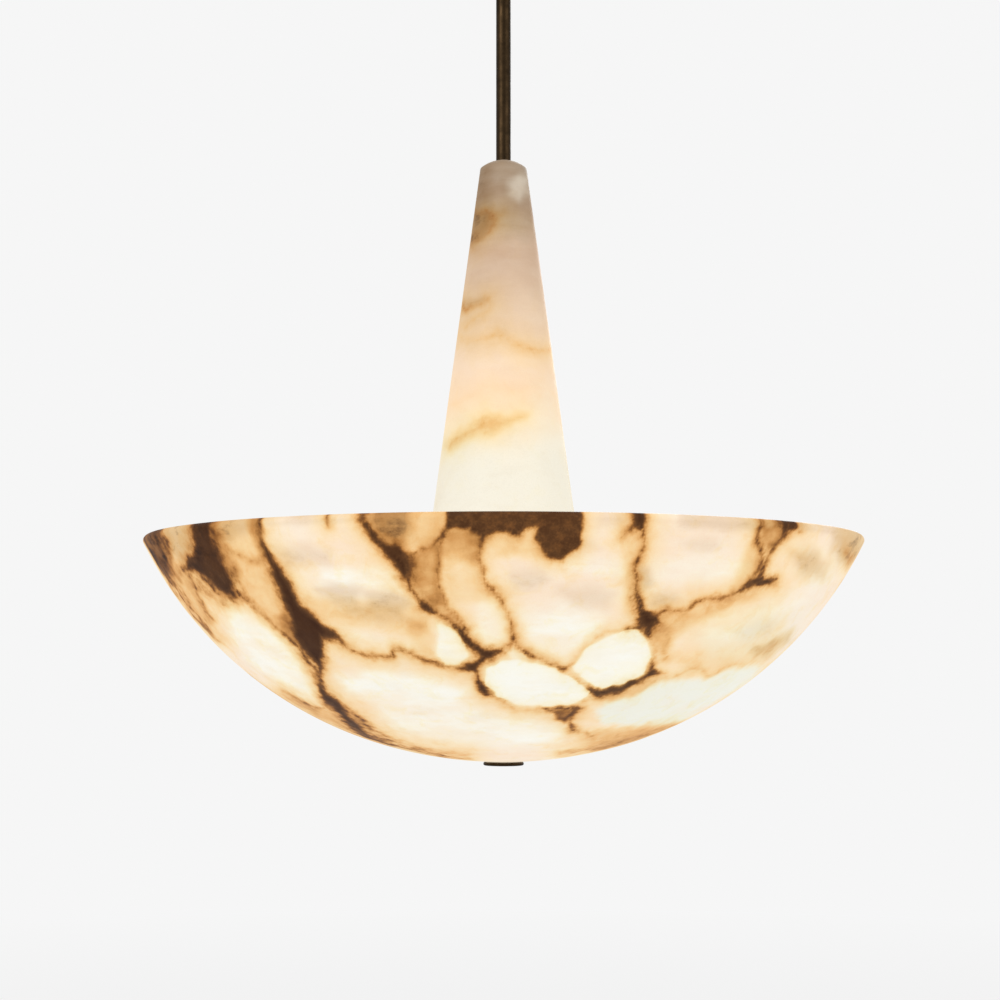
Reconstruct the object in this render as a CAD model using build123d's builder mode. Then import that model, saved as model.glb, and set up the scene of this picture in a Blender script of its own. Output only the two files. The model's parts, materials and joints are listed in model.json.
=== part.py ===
# Alabaster bowl pendant: a stone bowl and a stone cone on one bronze rod under the ceiling.
#
# A steel bracket is screwed to the ceiling and carries a ball swivel, so that the rod hangs
# plumb. The rod runs down through the cone, which stands on a spoked gallery, to a junction
# body with four lampholders. A tie rod goes on from there through the bowl's floor, and a
# finial screwed on its end holds the bowl up. A canopy covers the bracket and the terminals.
#
# Millimetres, +Z up. The origin is the middle of the bracket on the ceiling plane, and the
# pendant hangs down from there. The bracket lies along X.
from build123d import *

import os
from math import acos, asin, cos, degrees, hypot, radians, sin, sqrt, tan

os.makedirs("parts", exist_ok=True)

# ---------------------------------------------------------------- driving dimensions

# Fits and clearances
thread_gap = 0.05  # radial, between a screwed part and its hole
seat_gap = 0.1  # radial, between the swivel's ball and its seat
slide_gap = 0.3  # radial, where one piece slips over another
swing_gap = 0.4  # to a piece that swings past

# Bowl
bowl_rim_radius = 301.5  # sharp edge, before it is rounded
bowl_depth = 185.0  # rim plane to the outside of the bottom
bowl_bottom_radius = 355.0  # outer arc at the bottom
bowl_join_angle = 16.5  # degrees up that arc, where the tighter shoulder begins
bowl_wall = 11.0
bowl_rim_outer_round = 3.5
bowl_rim_inner_round = 3.0

# Cone
cone_foot_drop = 30.0  # foot below the bowl's rim plane
cone_height = 351.5  # foot to the shoulder at the top
cone_foot_radius = 67.0
cone_top_radius = 20.0
cone_wall = 9.0  # measured level
cone_cap = 16.0  # solid stone between the hollow and the shoulder
cone_dome_rise = 7.3
cone_shoulder_round = 2.0
cone_bush_wall = 1.5
cone_bush_height = 12.0
cone_bush_recess = 2.0  # bush below the mouth of its hole

# Rod, threaded tubes and lead
ceiling_to_rim = 538.0
lead_radius = 2.8
lead_gap = 0.7  # round the lead inside a threaded tube
tube_wall = 1.45
tube_engagement = 10.0  # threaded tube inside the rod
tube_end = 2.0  # threaded tube past its nut
rod_wall = 1.35

# Ceiling bracket: a strap along X with a cross tab at each side
strap_length = 104.0
strap_width = 24.0
strap_thickness = 2.5
strap_drop = 6.0  # the middle lies this far below the ends
strap_end_length = 21.0  # flat at each end
strap_corner_round = 4.0
slot_inset = 12.0  # slot centre from the end of the strap
slot_width = 5.2
slot_length = 14.0
cable_hole_radius = 8.0
screw_radius = 1.5
screw_head_radius = 2.9
screw_head_height = 2.0
socket_screw_depth = 6.0
socket_screw_angle = 25.0  # degrees from the strap's line
earth_screw_radius = 2.0
earth_screw_inset = 9.0  # from the end of its tab
earth_screw_length = 10.0
earth_screw_head_radius = 3.8
earth_screw_head_height = 2.4
earth_nut_flats = 7.0
earth_nut_height = 3.2

# Terminal block
block_width = 20.0
block_height = 14.0
block_inset = 2.0  # from the end of its tab
block_socket_gap = 6.5
block_poles = 3
block_pitch = 9.0
block_end = 7.0  # past the last pole
block_corner_round = 1.5
clamp_screw_radius = 1.6
clamp_screw_length = 5.0
clamp_screw_recess = 1.0
clamp_slot_depth = 1.0
clamp_slot_width = 0.6
wire_entry_radius = 1.8
wire_entry_depth = 6.0

# Ball swivel
swivel_limit = 15.0  # degrees, about each of its two axes
ball_radius = 16.0
ball_top_cut = 7.0  # flat above the pivot
ball_foot_rim = 2.2  # flat under the ball, past the rod that starts there
ball_thread_end = 5.0  # threaded hole stops this far below the pivot
socket_wall = 5.5
socket_lip = 1.8  # below the edge of the seat
pin_radius = 1.5
pin_hold = 7.0  # inside the ball
pin_reach = 3.5  # outside it
lead_strap_gap = 1.7
lead_ball_gap = 2.5
lead_bend_radius = 8.0
lead_split = 1.2  # each lead stops this far from the pivot

# Canopy
canopy_margin = 10.1  # inside, round the bracket
canopy_wall = 1.5
canopy_edge_round = 5.0
canopy_ring_width = 4.5
canopy_ring_height = 5.0
canopy_ring_bevel = 0.8
canopy_ring_notches = 4
canopy_ring_notch_width = 4.0
canopy_ring_notch_depth = 1.8
socket_reveal = 4.0  # socket below the ring

# Gallery under the cone
gallery_thickness = 3.0
gallery_edge_inset = 1.0  # inside the cone's outer edge
gallery_boss_radius = 14.0
gallery_spokes = 3
gallery_spoke_width = 8.0
gallery_lip_height = 4.0
gallery_lip_width = 2.5
cone_gasket_thickness = 1.5

# Junction body
hub_radius = 30.0
hub_wall = 5.0
hub_top_wall = 4.0
hub_edge_round = 2.5
hub_stack_gap = 3.0  # above and below the connector block
nut_flats = 14.0
nut_height = 4.0
nut_bevel = 0.5
cover_thickness = 3.0
cover_edge_round = 2.0
cover_spigot_height = 6.0
cover_spigot_wall = 4.0
connector_radius = 14.0
connector_height = 18.0
connector_hole_depth = 4.0

# Lamps. "Out" is measured from the pendant's axis along a lamp's own axis.
lamp_count = 4
lamp_first_angle = 45.0
lamp_tilt = 10.0  # degrees above level
arm_bore = 3.2
arm_inner_end = 1.4  # past the inside of the junction body
arm_collar_radius = 8.0
arm_collar_thickness = 3.0
arm_outer_length = 21.0  # out from its seat
wire_radius = 1.0
wire_spread = 1.4  # each wire beside the lamp's axis
wire_hold = 5.0  # inside the connector block
holder_arm_gap = 9.0  # between the collar and the holder
holder_radius = 14.5
holder_rear_radius = 12.5
holder_rear_wall = 4.0
holder_chamber_radius = 11.0
holder_chamber_length = 12.0
holder_partition = 3.0
holder_step = 2.0  # slope between its two radii
holder_mouth_wall = 2.2
holder_mouth_depth = 8.0
holder_gallery_gap = 3.0
shell_wall = 2.0
shell_floor = 1.0
shell_length = 19.5
shell_recess = 1.5  # below the holder's mouth
lamp_seat_gap = 0.3
lamp_contact_radius = 3.5
lamp_contact_height = 2.5
lamp_cap_radius = 6.95
lamp_cap_length = 17.0
lamp_cap_wall = 1.0
lamp_flange_radius = 8.2
lamp_flange_thickness = 1.0
lamp_length = 76.0  # contact to the end of the glass
globe_radius = 22.5
globe_neck_round = 8.0
globe_wall = 0.9

# Bowl clamp and finial
plate_radius = 30.0
plate_thickness = 3.0
plate_edge_bevel = 0.6
floor_margin = 3.0  # ground floor past the plate
floor_gasket_thickness = 1.5
floor_gasket_width = 12.0
lock_nut_flats = 17.0
lock_nut_height = 5.0
finial_radius = 16.9
finial_thickness = 2.8
finial_edge_round = 1.2
finial_spigot_radius = 8.0
finial_spigot_height = 10.5
finial_floor = 1.5  # metal under the blind hole
finial_gasket_thickness = 0.8
finial_gasket_width = 7.0
bowl_hole_gap = 0.6
tie_rod_end_gap = 1.0

# ---------------------------------------------------------------- worked-out sizes

tube_bore = lead_radius + lead_gap
tube_radius = tube_bore + tube_wall
thread_bore = tube_radius + thread_gap
rod_radius = thread_bore + rod_wall

# Swivel. At both limits together the rod leans by full_tilt.
full_tilt = acos(cos(radians(swivel_limit)) ** 2)
ball_rise = ball_radius * sin(asin(ball_top_cut / ball_radius) + full_tilt)
strap_underside = -strap_drop - strap_thickness
lead_z = strap_underside - lead_strap_gap - lead_radius
pivot_z = lead_z - lead_radius - lead_ball_gap - ball_rise
ball_top_z = pivot_z + ball_top_cut
ball_top_radius = sqrt(ball_radius**2 - ball_top_cut**2)
ball_foot_radius = rod_radius + ball_foot_rim
ball_foot_depth = sqrt(ball_radius**2 - ball_foot_radius**2)
rod_top_z = pivot_z - ball_foot_depth

# The socket's mouth flares round the leaning rod: radius = mouth_start + depth * mouth_slope.
seat_radius = ball_radius + seat_gap
socket_radius = ball_radius + socket_wall
mouth_slope = tan(full_tilt)
mouth_start = rod_radius / cos(full_tilt) + swing_gap
seat_root = seat_radius**2 * (1 + mouth_slope**2) - mouth_start**2
seat_edge_depth = (sqrt(seat_root) - mouth_start * mouth_slope) / (1 + mouth_slope**2)
seat_edge_radius = mouth_start + seat_edge_depth * mouth_slope
socket_foot_depth = seat_edge_depth + socket_lip
socket_foot_z = pivot_z - socket_foot_depth
mouth_radius = mouth_start + socket_foot_depth * mouth_slope
pin_inner = ball_radius - pin_hold
pin_outer = ball_radius + pin_reach
pin_slot_foot_z = pivot_z - pin_outer * sin(radians(swivel_limit)) - pin_radius - swing_gap

# Bracket, terminal block and canopy
strap_half = strap_length / 2
slot_x = strap_half - slot_inset
block_inner_y = socket_radius + block_socket_gap
block_middle_y = block_inner_y + block_width / 2
block_length = block_pitch * (block_poles - 1) + 2 * block_end
block_foot_z = strap_underside - block_height
tab_length = block_inner_y + block_width + block_inset
bracket_reach = max(hypot(strap_half, strap_width / 2), hypot(block_length / 2, tab_length))
canopy_radius = bracket_reach + canopy_margin + canopy_wall
canopy_foot_z = socket_foot_z + socket_reveal + canopy_ring_height
canopy_hole_radius = socket_radius + slide_gap

# Heights down the axis
rim_z = -ceiling_to_rim
pole_z = rim_z - bowl_depth
cone_foot_z = rim_z - cone_foot_drop
cone_shoulder_z = cone_foot_z + cone_height
gallery_top_z = cone_foot_z - cone_gasket_thickness
gallery_foot_z = gallery_top_z - gallery_thickness

# The bowl's outer wall is two tangent arcs, and the shoulder arc ends at the rim.
join_angle = radians(bowl_join_angle)
bottom_centre_z = pole_z + bowl_bottom_radius
join_r = bowl_bottom_radius * sin(join_angle)
join_z = bottom_centre_z - bowl_bottom_radius * cos(join_angle)
reach_r = bowl_rim_radius - join_r
reach_z = rim_z - join_z
shoulder_chord = reach_r**2 + reach_z**2
shoulder_radius = shoulder_chord / (2 * (reach_z * cos(join_angle) - reach_r * sin(join_angle)))
shoulder_r = join_r - shoulder_radius * sin(join_angle)
shoulder_z = join_z + shoulder_radius * cos(join_angle)

# Flats ground on the bowl, inside for the plate and outside for the finial
bowl_hole_radius = finial_spigot_radius + bowl_hole_gap
floor_radius = plate_radius + floor_margin
floor_z = bottom_centre_z - sqrt((bowl_bottom_radius - bowl_wall) ** 2 - floor_radius**2)
foot_radius = finial_radius + bowl_hole_gap
foot_z = bottom_centre_z - sqrt(bowl_bottom_radius**2 - foot_radius**2)
plate_foot_z = floor_z + floor_gasket_thickness
plate_top_z = plate_foot_z + plate_thickness
lock_nut_top_z = plate_top_z + lock_nut_height
finial_top_z = foot_z - finial_gasket_thickness
finial_foot_z = finial_top_z - finial_thickness
tie_rod_foot_z = finial_foot_z + finial_floor + tie_rod_end_gap

# Cone
cone_taper = (cone_foot_radius - cone_top_radius) / cone_height
hollow_top_z = cone_shoulder_z - cone_cap
hollow_foot_radius = cone_foot_radius - cone_wall
hollow_top_radius = hollow_foot_radius - cone_taper * (cone_height - cone_cap)
dome_radius = (cone_top_radius**2 + cone_dome_rise**2) / (2 * cone_dome_rise)
dome_z = cone_shoulder_z + cone_dome_rise - dome_radius
bush_bore = rod_radius + slide_gap
bush_radius = bush_bore + cone_bush_wall
cone_hole_radius = bush_radius + thread_gap
cone_hole_top_z = dome_z + sqrt(dome_radius**2 - cone_hole_radius**2)
bush_top_z = cone_hole_top_z - cone_bush_recess

# Gallery
gallery_radius = cone_foot_radius - gallery_edge_inset
lip_rise = gallery_lip_height - cone_gasket_thickness  # above the cone's foot
lip_radius = hollow_foot_radius - cone_taper * lip_rise - slide_gap
lip_bore = lip_radius - gallery_lip_width

# Lamps and junction body. The neck keeps the lampholders clear under the gallery.
lamp_rise = radians(lamp_tilt)
connector_drop = hub_top_wall + nut_height + tube_end + hub_stack_gap
lamp_drop = connector_drop + connector_height / 2
holder_top = gallery_radius * tan(lamp_rise) + holder_radius / cos(lamp_rise)
hub_neck_height = holder_top + holder_gallery_gap - lamp_drop
hub_top_z = gallery_foot_z - hub_neck_height
lamp_z = hub_top_z - lamp_drop
connector_top_z = hub_top_z - connector_drop
connector_foot_z = connector_top_z - connector_height
hub_foot_z = connector_foot_z - hub_stack_gap - tube_end - nut_height
cover_foot_z = hub_foot_z - cover_thickness
hub_bore = hub_radius - hub_wall
collar_seat_radius = arm_collar_radius + slide_gap
seat_out = sqrt(hub_radius**2 - collar_seat_radius**2) / cos(lamp_rise)
arm_seat_out = seat_out - collar_seat_radius * tan(lamp_rise)
arm_inner_out = hub_bore / cos(lamp_rise) - arm_inner_end
arm_outer_out = arm_seat_out + arm_outer_length
wire_inner_out = connector_radius - wire_hold
wire_hole_radius = wire_spread + wire_radius + slide_gap
holder_out = arm_seat_out + arm_collar_thickness + holder_arm_gap
chamber_out = holder_out + holder_rear_wall
partition_out = chamber_out + holder_chamber_length
shell_out = partition_out + holder_partition
shell_bore = lamp_cap_radius + thread_gap
shell_radius = shell_bore + shell_wall
shell_end_out = shell_out + shell_length
mouth_out = shell_end_out + shell_recess
holder_end_out = mouth_out + holder_mouth_depth
contact_out = shell_out + shell_floor + lamp_seat_gap
cap_out = contact_out + lamp_contact_height
cap_end_out = cap_out + lamp_cap_length
lamp_end_out = contact_out + lamp_length
globe_out = lamp_end_out - globe_radius


def save(label, piece):
    """Names a finished piece and writes it to its own file."""
    piece.label = label
    export_step(piece, f"parts/{label}.step")


def tube(bore, radius, start, end, base=Plane.XY):
    """A round tube from start to end along the normal of base; bore 0 makes a solid rod."""
    with BuildPart() as made:
        with BuildSketch(base.offset(start)):
            Circle(radius)
            if bore > 0:
                Circle(bore, mode=Mode.SUBTRACT)
        extrude(amount=end - start)
    return made.part


def hexagon_nut(flats, bore, foot_z, height):
    """A hexagon nut on the Z axis with its outer edges broken."""
    with BuildPart() as made:
        with BuildSketch(Plane.XY.offset(foot_z)):
            RegularPolygon(flats / 2, 6, major_radius=False)
        extrude(amount=height)
        chamfer(made.edges().group_by(Axis.Z)[0] + made.edges().group_by(Axis.Z)[-1], nut_bevel)
        with BuildSketch(Plane.XY.offset(foot_z)):
            Circle(bore)
        extrude(amount=height, mode=Mode.SUBTRACT)
    return made.part


def down_arc(centre, radius, start, end):
    """An arc of a profile between two angles measured up from straight down, in radians."""
    return CenterArc(centre, radius, degrees(start) - 90, degrees(end - start))


# ---------------------------------------------------------------- ceiling bracket

step_outer = strap_half - strap_end_length
step_inner = step_outer - strap_drop  # the strap steps down at 45 degrees
step_shift = strap_thickness * tan(radians(22.5))
socket_screw_turn = radians(socket_screw_angle)
socket_screw_reach = (seat_radius + socket_radius) / 2
socket_screw_x = socket_screw_reach * cos(socket_screw_turn)
socket_screw_y = socket_screw_reach * sin(socket_screw_turn)
socket_screw_spots = [(socket_screw_x, socket_screw_y), (-socket_screw_x, -socket_screw_y)]
block_screw_spots = [(-block_pitch / 2, block_middle_y), (block_pitch / 2, block_middle_y)]
earth_screw_y = earth_screw_inset - tab_length

with BuildPart() as ceiling_bracket:
    with BuildSketch(Plane.XZ):
        with BuildLine():
            Polyline(
                (0, -strap_drop),
                (step_inner, -strap_drop),
                (step_outer, 0),
                (strap_half, 0),
                (strap_half, -strap_thickness),
                (step_outer + step_shift, -strap_thickness),
                (step_inner + step_shift, strap_underside),
                (0, strap_underside),
                close=True,
            )
        make_face()
        mirror(about=Plane.YZ)
    extrude(amount=strap_width / 2, both=True)
    with BuildSketch(Plane.XY.offset(strap_underside)):
        Rectangle(strap_width, 2 * tab_length)
    extrude(amount=strap_thickness)
    upright = ceiling_bracket.edges().filter_by(Axis.Z)
    end_corners = upright.group_by(Axis.X)[0] + upright.group_by(Axis.X)[-1]
    tab_corners = upright.group_by(Axis.Y)[0] + upright.group_by(Axis.Y)[-1]
    fillet(end_corners + tab_corners, strap_corner_round)
    with BuildSketch(Plane.XY.offset(strap_underside)):
        Circle(cable_hole_radius)
        with Locations(*socket_screw_spots, *block_screw_spots):
            Circle(screw_radius + thread_gap)
        with Locations((0, earth_screw_y)):
            Circle(earth_screw_radius + thread_gap)
        with Locations((-slot_x, 0), (slot_x, 0)):
            SlotOverall(slot_length, slot_width)
    extrude(amount=-strap_underside, mode=Mode.SUBTRACT)
save("ceiling_bracket", ceiling_bracket.part)


def pan_screws(spots, radius, length, head_radius, head_height):
    """Screws that stand head up on the middle of the bracket; length is under the head."""
    with BuildPart() as made:
        with BuildSketch(Plane.XY.offset(-strap_drop)):
            with Locations(*spots):
                Circle(radius)
        extrude(amount=-length)
        with BuildSketch(Plane.XY.offset(-strap_drop)):
            with Locations(*spots):
                Circle(head_radius)
        extrude(amount=head_height)
    return made.part


socket_screw_length = strap_thickness + socket_screw_depth
block_screw_length = strap_thickness + block_height - 2 * clamp_screw_recess
save(
    "socket_screws",
    pan_screws(
        socket_screw_spots, screw_radius, socket_screw_length, screw_head_radius, screw_head_height
    ),
)
save(
    "block_screws",
    pan_screws(
        block_screw_spots, screw_radius, block_screw_length, screw_head_radius, screw_head_height
    ),
)
save(
    "earth_screw",
    pan_screws(
        [(0, earth_screw_y)],
        earth_screw_radius,
        earth_screw_length,
        earth_screw_head_radius,
        earth_screw_head_height,
    ),
)
earth_nut = hexagon_nut(
    earth_nut_flats,
    earth_screw_radius + thread_gap,
    strap_underside - earth_nut_height,
    earth_nut_height,
)
save("earth_nut", earth_nut.moved(Location((0, earth_screw_y, 0))))

# ---------------------------------------------------------------- terminal block

pole_xs = [(index - (block_poles - 1) / 2) * block_pitch for index in range(block_poles)]
clamp_ys = [block_middle_y - block_width / 4, block_middle_y + block_width / 4]
clamp_spots = [(x, y) for x in pole_xs for y in clamp_ys]
clamp_z = block_foot_z + clamp_screw_recess

with BuildPart() as terminal_block:
    with BuildSketch(Plane.XY.offset(block_foot_z)):
        with Locations((0, block_middle_y)):
            RectangleRounded(block_length, block_width, block_corner_round)
    extrude(amount=block_height)
    with BuildSketch(Plane.XY.offset(block_foot_z)):
        with Locations(*clamp_spots):
            Circle(clamp_screw_radius + thread_gap)
    extrude(amount=clamp_screw_recess + clamp_screw_length, mode=Mode.SUBTRACT)
    with BuildSketch(Plane.XY.offset(block_foot_z)):
        with Locations(*block_screw_spots):
            Circle(screw_radius + thread_gap)
    extrude(amount=block_height, mode=Mode.SUBTRACT)
    # The mains conductors go in at the far side, opposite the lead.
    with BuildSketch(Plane.XZ.offset(-block_inner_y - block_width)):
        with Locations(*[(x, lead_z) for x in pole_xs]):
            Circle(wire_entry_radius)
    extrude(amount=wire_entry_depth, mode=Mode.SUBTRACT)
save("terminal_block", terminal_block.part)

with BuildPart() as clamp_screws:
    with BuildSketch(Plane.XY.offset(clamp_z)):
        with Locations(*clamp_spots):
            Circle(clamp_screw_radius)
    extrude(amount=clamp_screw_length)
    with BuildSketch(Plane.XY.offset(clamp_z)):
        with Locations(*clamp_spots):
            Rectangle(2 * clamp_screw_radius, clamp_slot_width)
    extrude(amount=clamp_slot_depth, mode=Mode.SUBTRACT)
save("clamp_screws", clamp_screws.part)

# Lead from the terminals over to the axis and down into the ball
with BuildPart() as ceiling_lead:
    with BuildLine(Plane.YZ) as lead_path:
        Line((block_inner_y, lead_z), (lead_bend_radius, lead_z))
        CenterArc((lead_bend_radius, lead_z - lead_bend_radius), lead_bend_radius, 90, 90)
        Line((0, lead_z - lead_bend_radius), (0, pivot_z + lead_split))
    with BuildSketch(Plane.XZ.offset(-block_inner_y)):
        with Locations((0, lead_z)):
            Circle(lead_radius)
    sweep(path=lead_path.wires()[0])
save("ceiling_lead", ceiling_lead.part)

# ---------------------------------------------------------------- ball swivel

with BuildPart() as swivel_socket:
    with BuildSketch(Plane.XZ):
        with BuildLine():
            Polyline(
                (seat_edge_radius, pivot_z - seat_edge_depth),
                (mouth_radius, socket_foot_z),
                (socket_radius, socket_foot_z),
                (socket_radius, strap_underside),
                (seat_radius, strap_underside),
                (seat_radius, pivot_z),
            )
            seat_edge_angle = asin(seat_edge_radius / seat_radius)
            down_arc((0, pivot_z), seat_radius, seat_edge_angle, radians(90))
        make_face()
    revolve(axis=Axis.Z)
    # Upright slots for the pins, open at the top so that the ball drops in
    with BuildSketch(Plane.XY.offset(pin_slot_foot_z)):
        Rectangle(2 * (pin_outer + swing_gap), 2 * (pin_radius + thread_gap))
    extrude(amount=strap_underside - pin_slot_foot_z, mode=Mode.SUBTRACT)
    # Notch for the lead
    lead_notch = lead_radius + swing_gap
    with BuildSketch(Plane.XZ):
        with Locations((0, lead_z)):
            Circle(lead_notch)
        with Locations((0, (lead_z + strap_underside) / 2)):
            Rectangle(2 * lead_notch, strap_underside - lead_z)
    extrude(amount=-socket_radius, mode=Mode.SUBTRACT)
    with BuildSketch(Plane.XY.offset(strap_underside)):
        with Locations(*socket_screw_spots):
            Circle(screw_radius + thread_gap)
    extrude(amount=-socket_screw_depth, mode=Mode.SUBTRACT)
save("swivel_socket", swivel_socket.part)

with BuildPart() as swivel_pins:
    for side in (1, -1):
        with BuildSketch(Plane.YZ.offset(side * pin_inner)):
            with Locations((0, pivot_z)):
                Circle(pin_radius)
        extrude(amount=side * (pin_outer - pin_inner))
save("swivel_pins", swivel_pins.part)

with BuildPart() as swivel_ball:
    with BuildSketch(Plane.XZ):
        with BuildLine():
            foot_angle = asin(ball_foot_radius / ball_radius)
            top_angle = radians(90) + asin(ball_top_cut / ball_radius)
            down_arc((0, pivot_z), ball_radius, foot_angle, top_angle)
            Polyline(
                (ball_top_radius, ball_top_z),
                (mouth_slope * ball_top_cut + lead_radius / cos(full_tilt) + lead_gap, ball_top_z),
                (lead_radius / cos(full_tilt) + lead_gap, pivot_z),
                (tube_bore, pivot_z),
                (tube_bore, pivot_z - ball_thread_end),
                (thread_bore, pivot_z - ball_thread_end),
                (thread_bore, rod_top_z),
                (ball_foot_radius, rod_top_z),
            )
        make_face()
    revolve(axis=Axis.Z)
    for side in (1, -1):
        with BuildSketch(Plane.YZ.offset(side * (pin_inner - thread_gap))):
            with Locations((0, pivot_z)):
                Circle(pin_radius + thread_gap)
        extrude(amount=side * ball_radius, mode=Mode.SUBTRACT)
save("swivel_ball", swivel_ball.part)

# ---------------------------------------------------------------- canopy

with BuildPart() as canopy:
    with BuildSketch(Plane.XY.offset(canopy_foot_z)):
        Circle(canopy_radius)
    extrude(amount=-canopy_foot_z)
    fillet(canopy.edges().group_by(Axis.Z)[0], canopy_edge_round)
    offset(amount=-canopy_wall, openings=canopy.faces().sort_by(Axis.Z)[-1])
    with BuildSketch(Plane.XY.offset(canopy_foot_z)):
        Circle(canopy_hole_radius)
    extrude(amount=2 * canopy_wall, mode=Mode.SUBTRACT)
save("canopy", canopy.part)

with BuildPart() as canopy_ring:
    with BuildSketch(Plane.XY.offset(canopy_foot_z)):
        Circle(socket_radius + canopy_ring_width)
    extrude(amount=-canopy_ring_height)
    chamfer(canopy_ring.edges().group_by(Axis.Z)[0], canopy_ring_bevel)
    with BuildSketch(Plane.XY.offset(canopy_foot_z)):
        Circle(socket_radius + thread_gap)
        with PolarLocations(socket_radius + canopy_ring_width, canopy_ring_notches):
            Rectangle(2 * canopy_ring_notch_depth, canopy_ring_notch_width)
    extrude(amount=-canopy_ring_height, mode=Mode.SUBTRACT)
save("canopy_ring", canopy_ring.part)

# ---------------------------------------------------------------- rod and cone

ball_nipple_top_z = pivot_z - ball_thread_end
hub_nipple_foot_z = hub_top_z - hub_top_wall - nut_height - tube_end
hub_nut_foot_z = hub_top_z - hub_top_wall - nut_height
save("ball_nipple", tube(tube_bore, tube_radius, rod_top_z - tube_engagement, ball_nipple_top_z))
save("down_rod", tube(thread_bore, rod_radius, gallery_top_z, rod_top_z))
save("hub_nipple", tube(tube_bore, tube_radius, hub_nipple_foot_z, gallery_top_z + tube_engagement))
save("hub_nut", hexagon_nut(nut_flats, thread_bore, hub_nut_foot_z, nut_height))
save(
    "main_lead",
    tube(0, lead_radius, connector_top_z - connector_hole_depth, pivot_z - lead_split),
)

with BuildPart() as cone:
    with BuildSketch(Plane.XZ):
        with BuildLine():
            Polyline(
                (cone_hole_radius, cone_hole_top_z),
                (cone_hole_radius, hollow_top_z),
                (hollow_top_radius, hollow_top_z),
                (hollow_foot_radius, cone_foot_z),
                (cone_foot_radius, cone_foot_z),
                (cone_top_radius, cone_shoulder_z),
            )
            RadiusArc(
                (cone_top_radius, cone_shoulder_z), (cone_hole_radius, cone_hole_top_z), -dome_radius
            )
        make_face()
    revolve(axis=Axis.Z)
    circles = cone.edges().filter_by(GeomType.CIRCLE)
    shoulder = circles.sort_by(lambda e: abs(e.arc_center.Z - cone_shoulder_z))[0]
    fillet(shoulder, cone_shoulder_round)
save("cone", cone.part)

save("cone_bush", tube(bush_bore, bush_radius, bush_top_z - cone_bush_height, bush_top_z))
save("cone_gasket", tube(lip_radius + slide_gap, gallery_radius, gallery_top_z, cone_foot_z))

with BuildPart() as cone_gallery:
    spoke_inner = gallery_boss_radius - gallery_lip_width
    spoke_outer = lip_bore + gallery_lip_width
    with BuildSketch(Plane.XY.offset(gallery_foot_z)):
        Circle(gallery_radius)
        Circle(lip_bore, mode=Mode.SUBTRACT)
        Circle(gallery_boss_radius)
        with PolarLocations((spoke_inner + spoke_outer) / 2, gallery_spokes):
            Rectangle(spoke_outer - spoke_inner, gallery_spoke_width)
        Circle(thread_bore, mode=Mode.SUBTRACT)
    extrude(amount=gallery_thickness)
    with BuildSketch(Plane.XY.offset(gallery_top_z)):
        Circle(lip_radius)
        Circle(lip_bore, mode=Mode.SUBTRACT)
    extrude(amount=gallery_lip_height)
save("cone_gallery", cone_gallery.part)

# ---------------------------------------------------------------- lamps


def lamp_plane(index):
    """The upright plane through one lamp's axis: local x runs out along it, y is radius."""
    turn = radians(lamp_first_angle + index * 360 / lamp_count)
    level = Vector(cos(turn), sin(turn), 0)
    out = level * cos(lamp_rise) + Vector(0, 0, sin(lamp_rise))
    return Plane(origin=(0, 0, lamp_z), x_dir=out, z_dir=(-sin(turn), cos(turn), 0))


def across(plane):
    """The plane square to a lamp's axis at its start; local x is sideways."""
    return Plane(origin=plane.origin, x_dir=plane.z_dir, z_dir=plane.x_dir)


def turned(plane, *points):
    """A solid of revolution round a lamp's axis, from (out, radius) points."""
    with BuildPart() as made:
        with BuildSketch(plane):
            with BuildLine():
                Polyline(*points, close=True)
            make_face()
        revolve(axis=Axis(plane.origin, plane.x_dir))
    return made.part


def arm(plane):
    """Threaded tube with a collar that seats on the junction body."""
    collar_out = arm_seat_out + arm_collar_thickness
    return turned(
        plane,
        (arm_inner_out, arm_bore),
        (arm_inner_out, tube_radius),
        (arm_seat_out, tube_radius),
        (arm_seat_out, arm_collar_radius),
        (collar_out, arm_collar_radius),
        (collar_out, tube_radius),
        (arm_outer_out, tube_radius),
        (arm_outer_out, arm_bore),
    )


def arm_wires(plane):
    """Two wires from the connector block to the holder's contacts."""
    with BuildPart() as made:
        with BuildSketch(across(plane).offset(wire_inner_out)):
            with Locations((-wire_spread, 0), (wire_spread, 0)):
                Circle(wire_radius)
        extrude(amount=shell_out - wire_inner_out)
    return made.part


def holder(plane):
    """Lampholder body: a wiring chamber behind, then a bore for the shell, then the mouth."""
    return turned(
        plane,
        (holder_out, thread_bore),
        (holder_out, holder_rear_radius),
        (partition_out, holder_rear_radius),
        (partition_out + holder_step, holder_radius),
        (holder_end_out, holder_radius),
        (holder_end_out, holder_radius - holder_mouth_wall),
        (mouth_out, holder_radius - holder_mouth_wall),
        (mouth_out, shell_radius + thread_gap),
        (shell_out, shell_radius + thread_gap),
        (shell_out, wire_hole_radius),
        (partition_out, wire_hole_radius),
        (partition_out, holder_chamber_radius),
        (chamber_out, holder_chamber_radius),
        (chamber_out, thread_bore),
    )


def holder_shell(plane):
    """Screw shell with its floor contact."""
    return turned(
        plane,
        (shell_out, 0),
        (shell_out, shell_radius),
        (shell_end_out, shell_radius),
        (shell_end_out, shell_bore),
        (shell_out + shell_floor, shell_bore),
        (shell_out + shell_floor, 0),
    )


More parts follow.
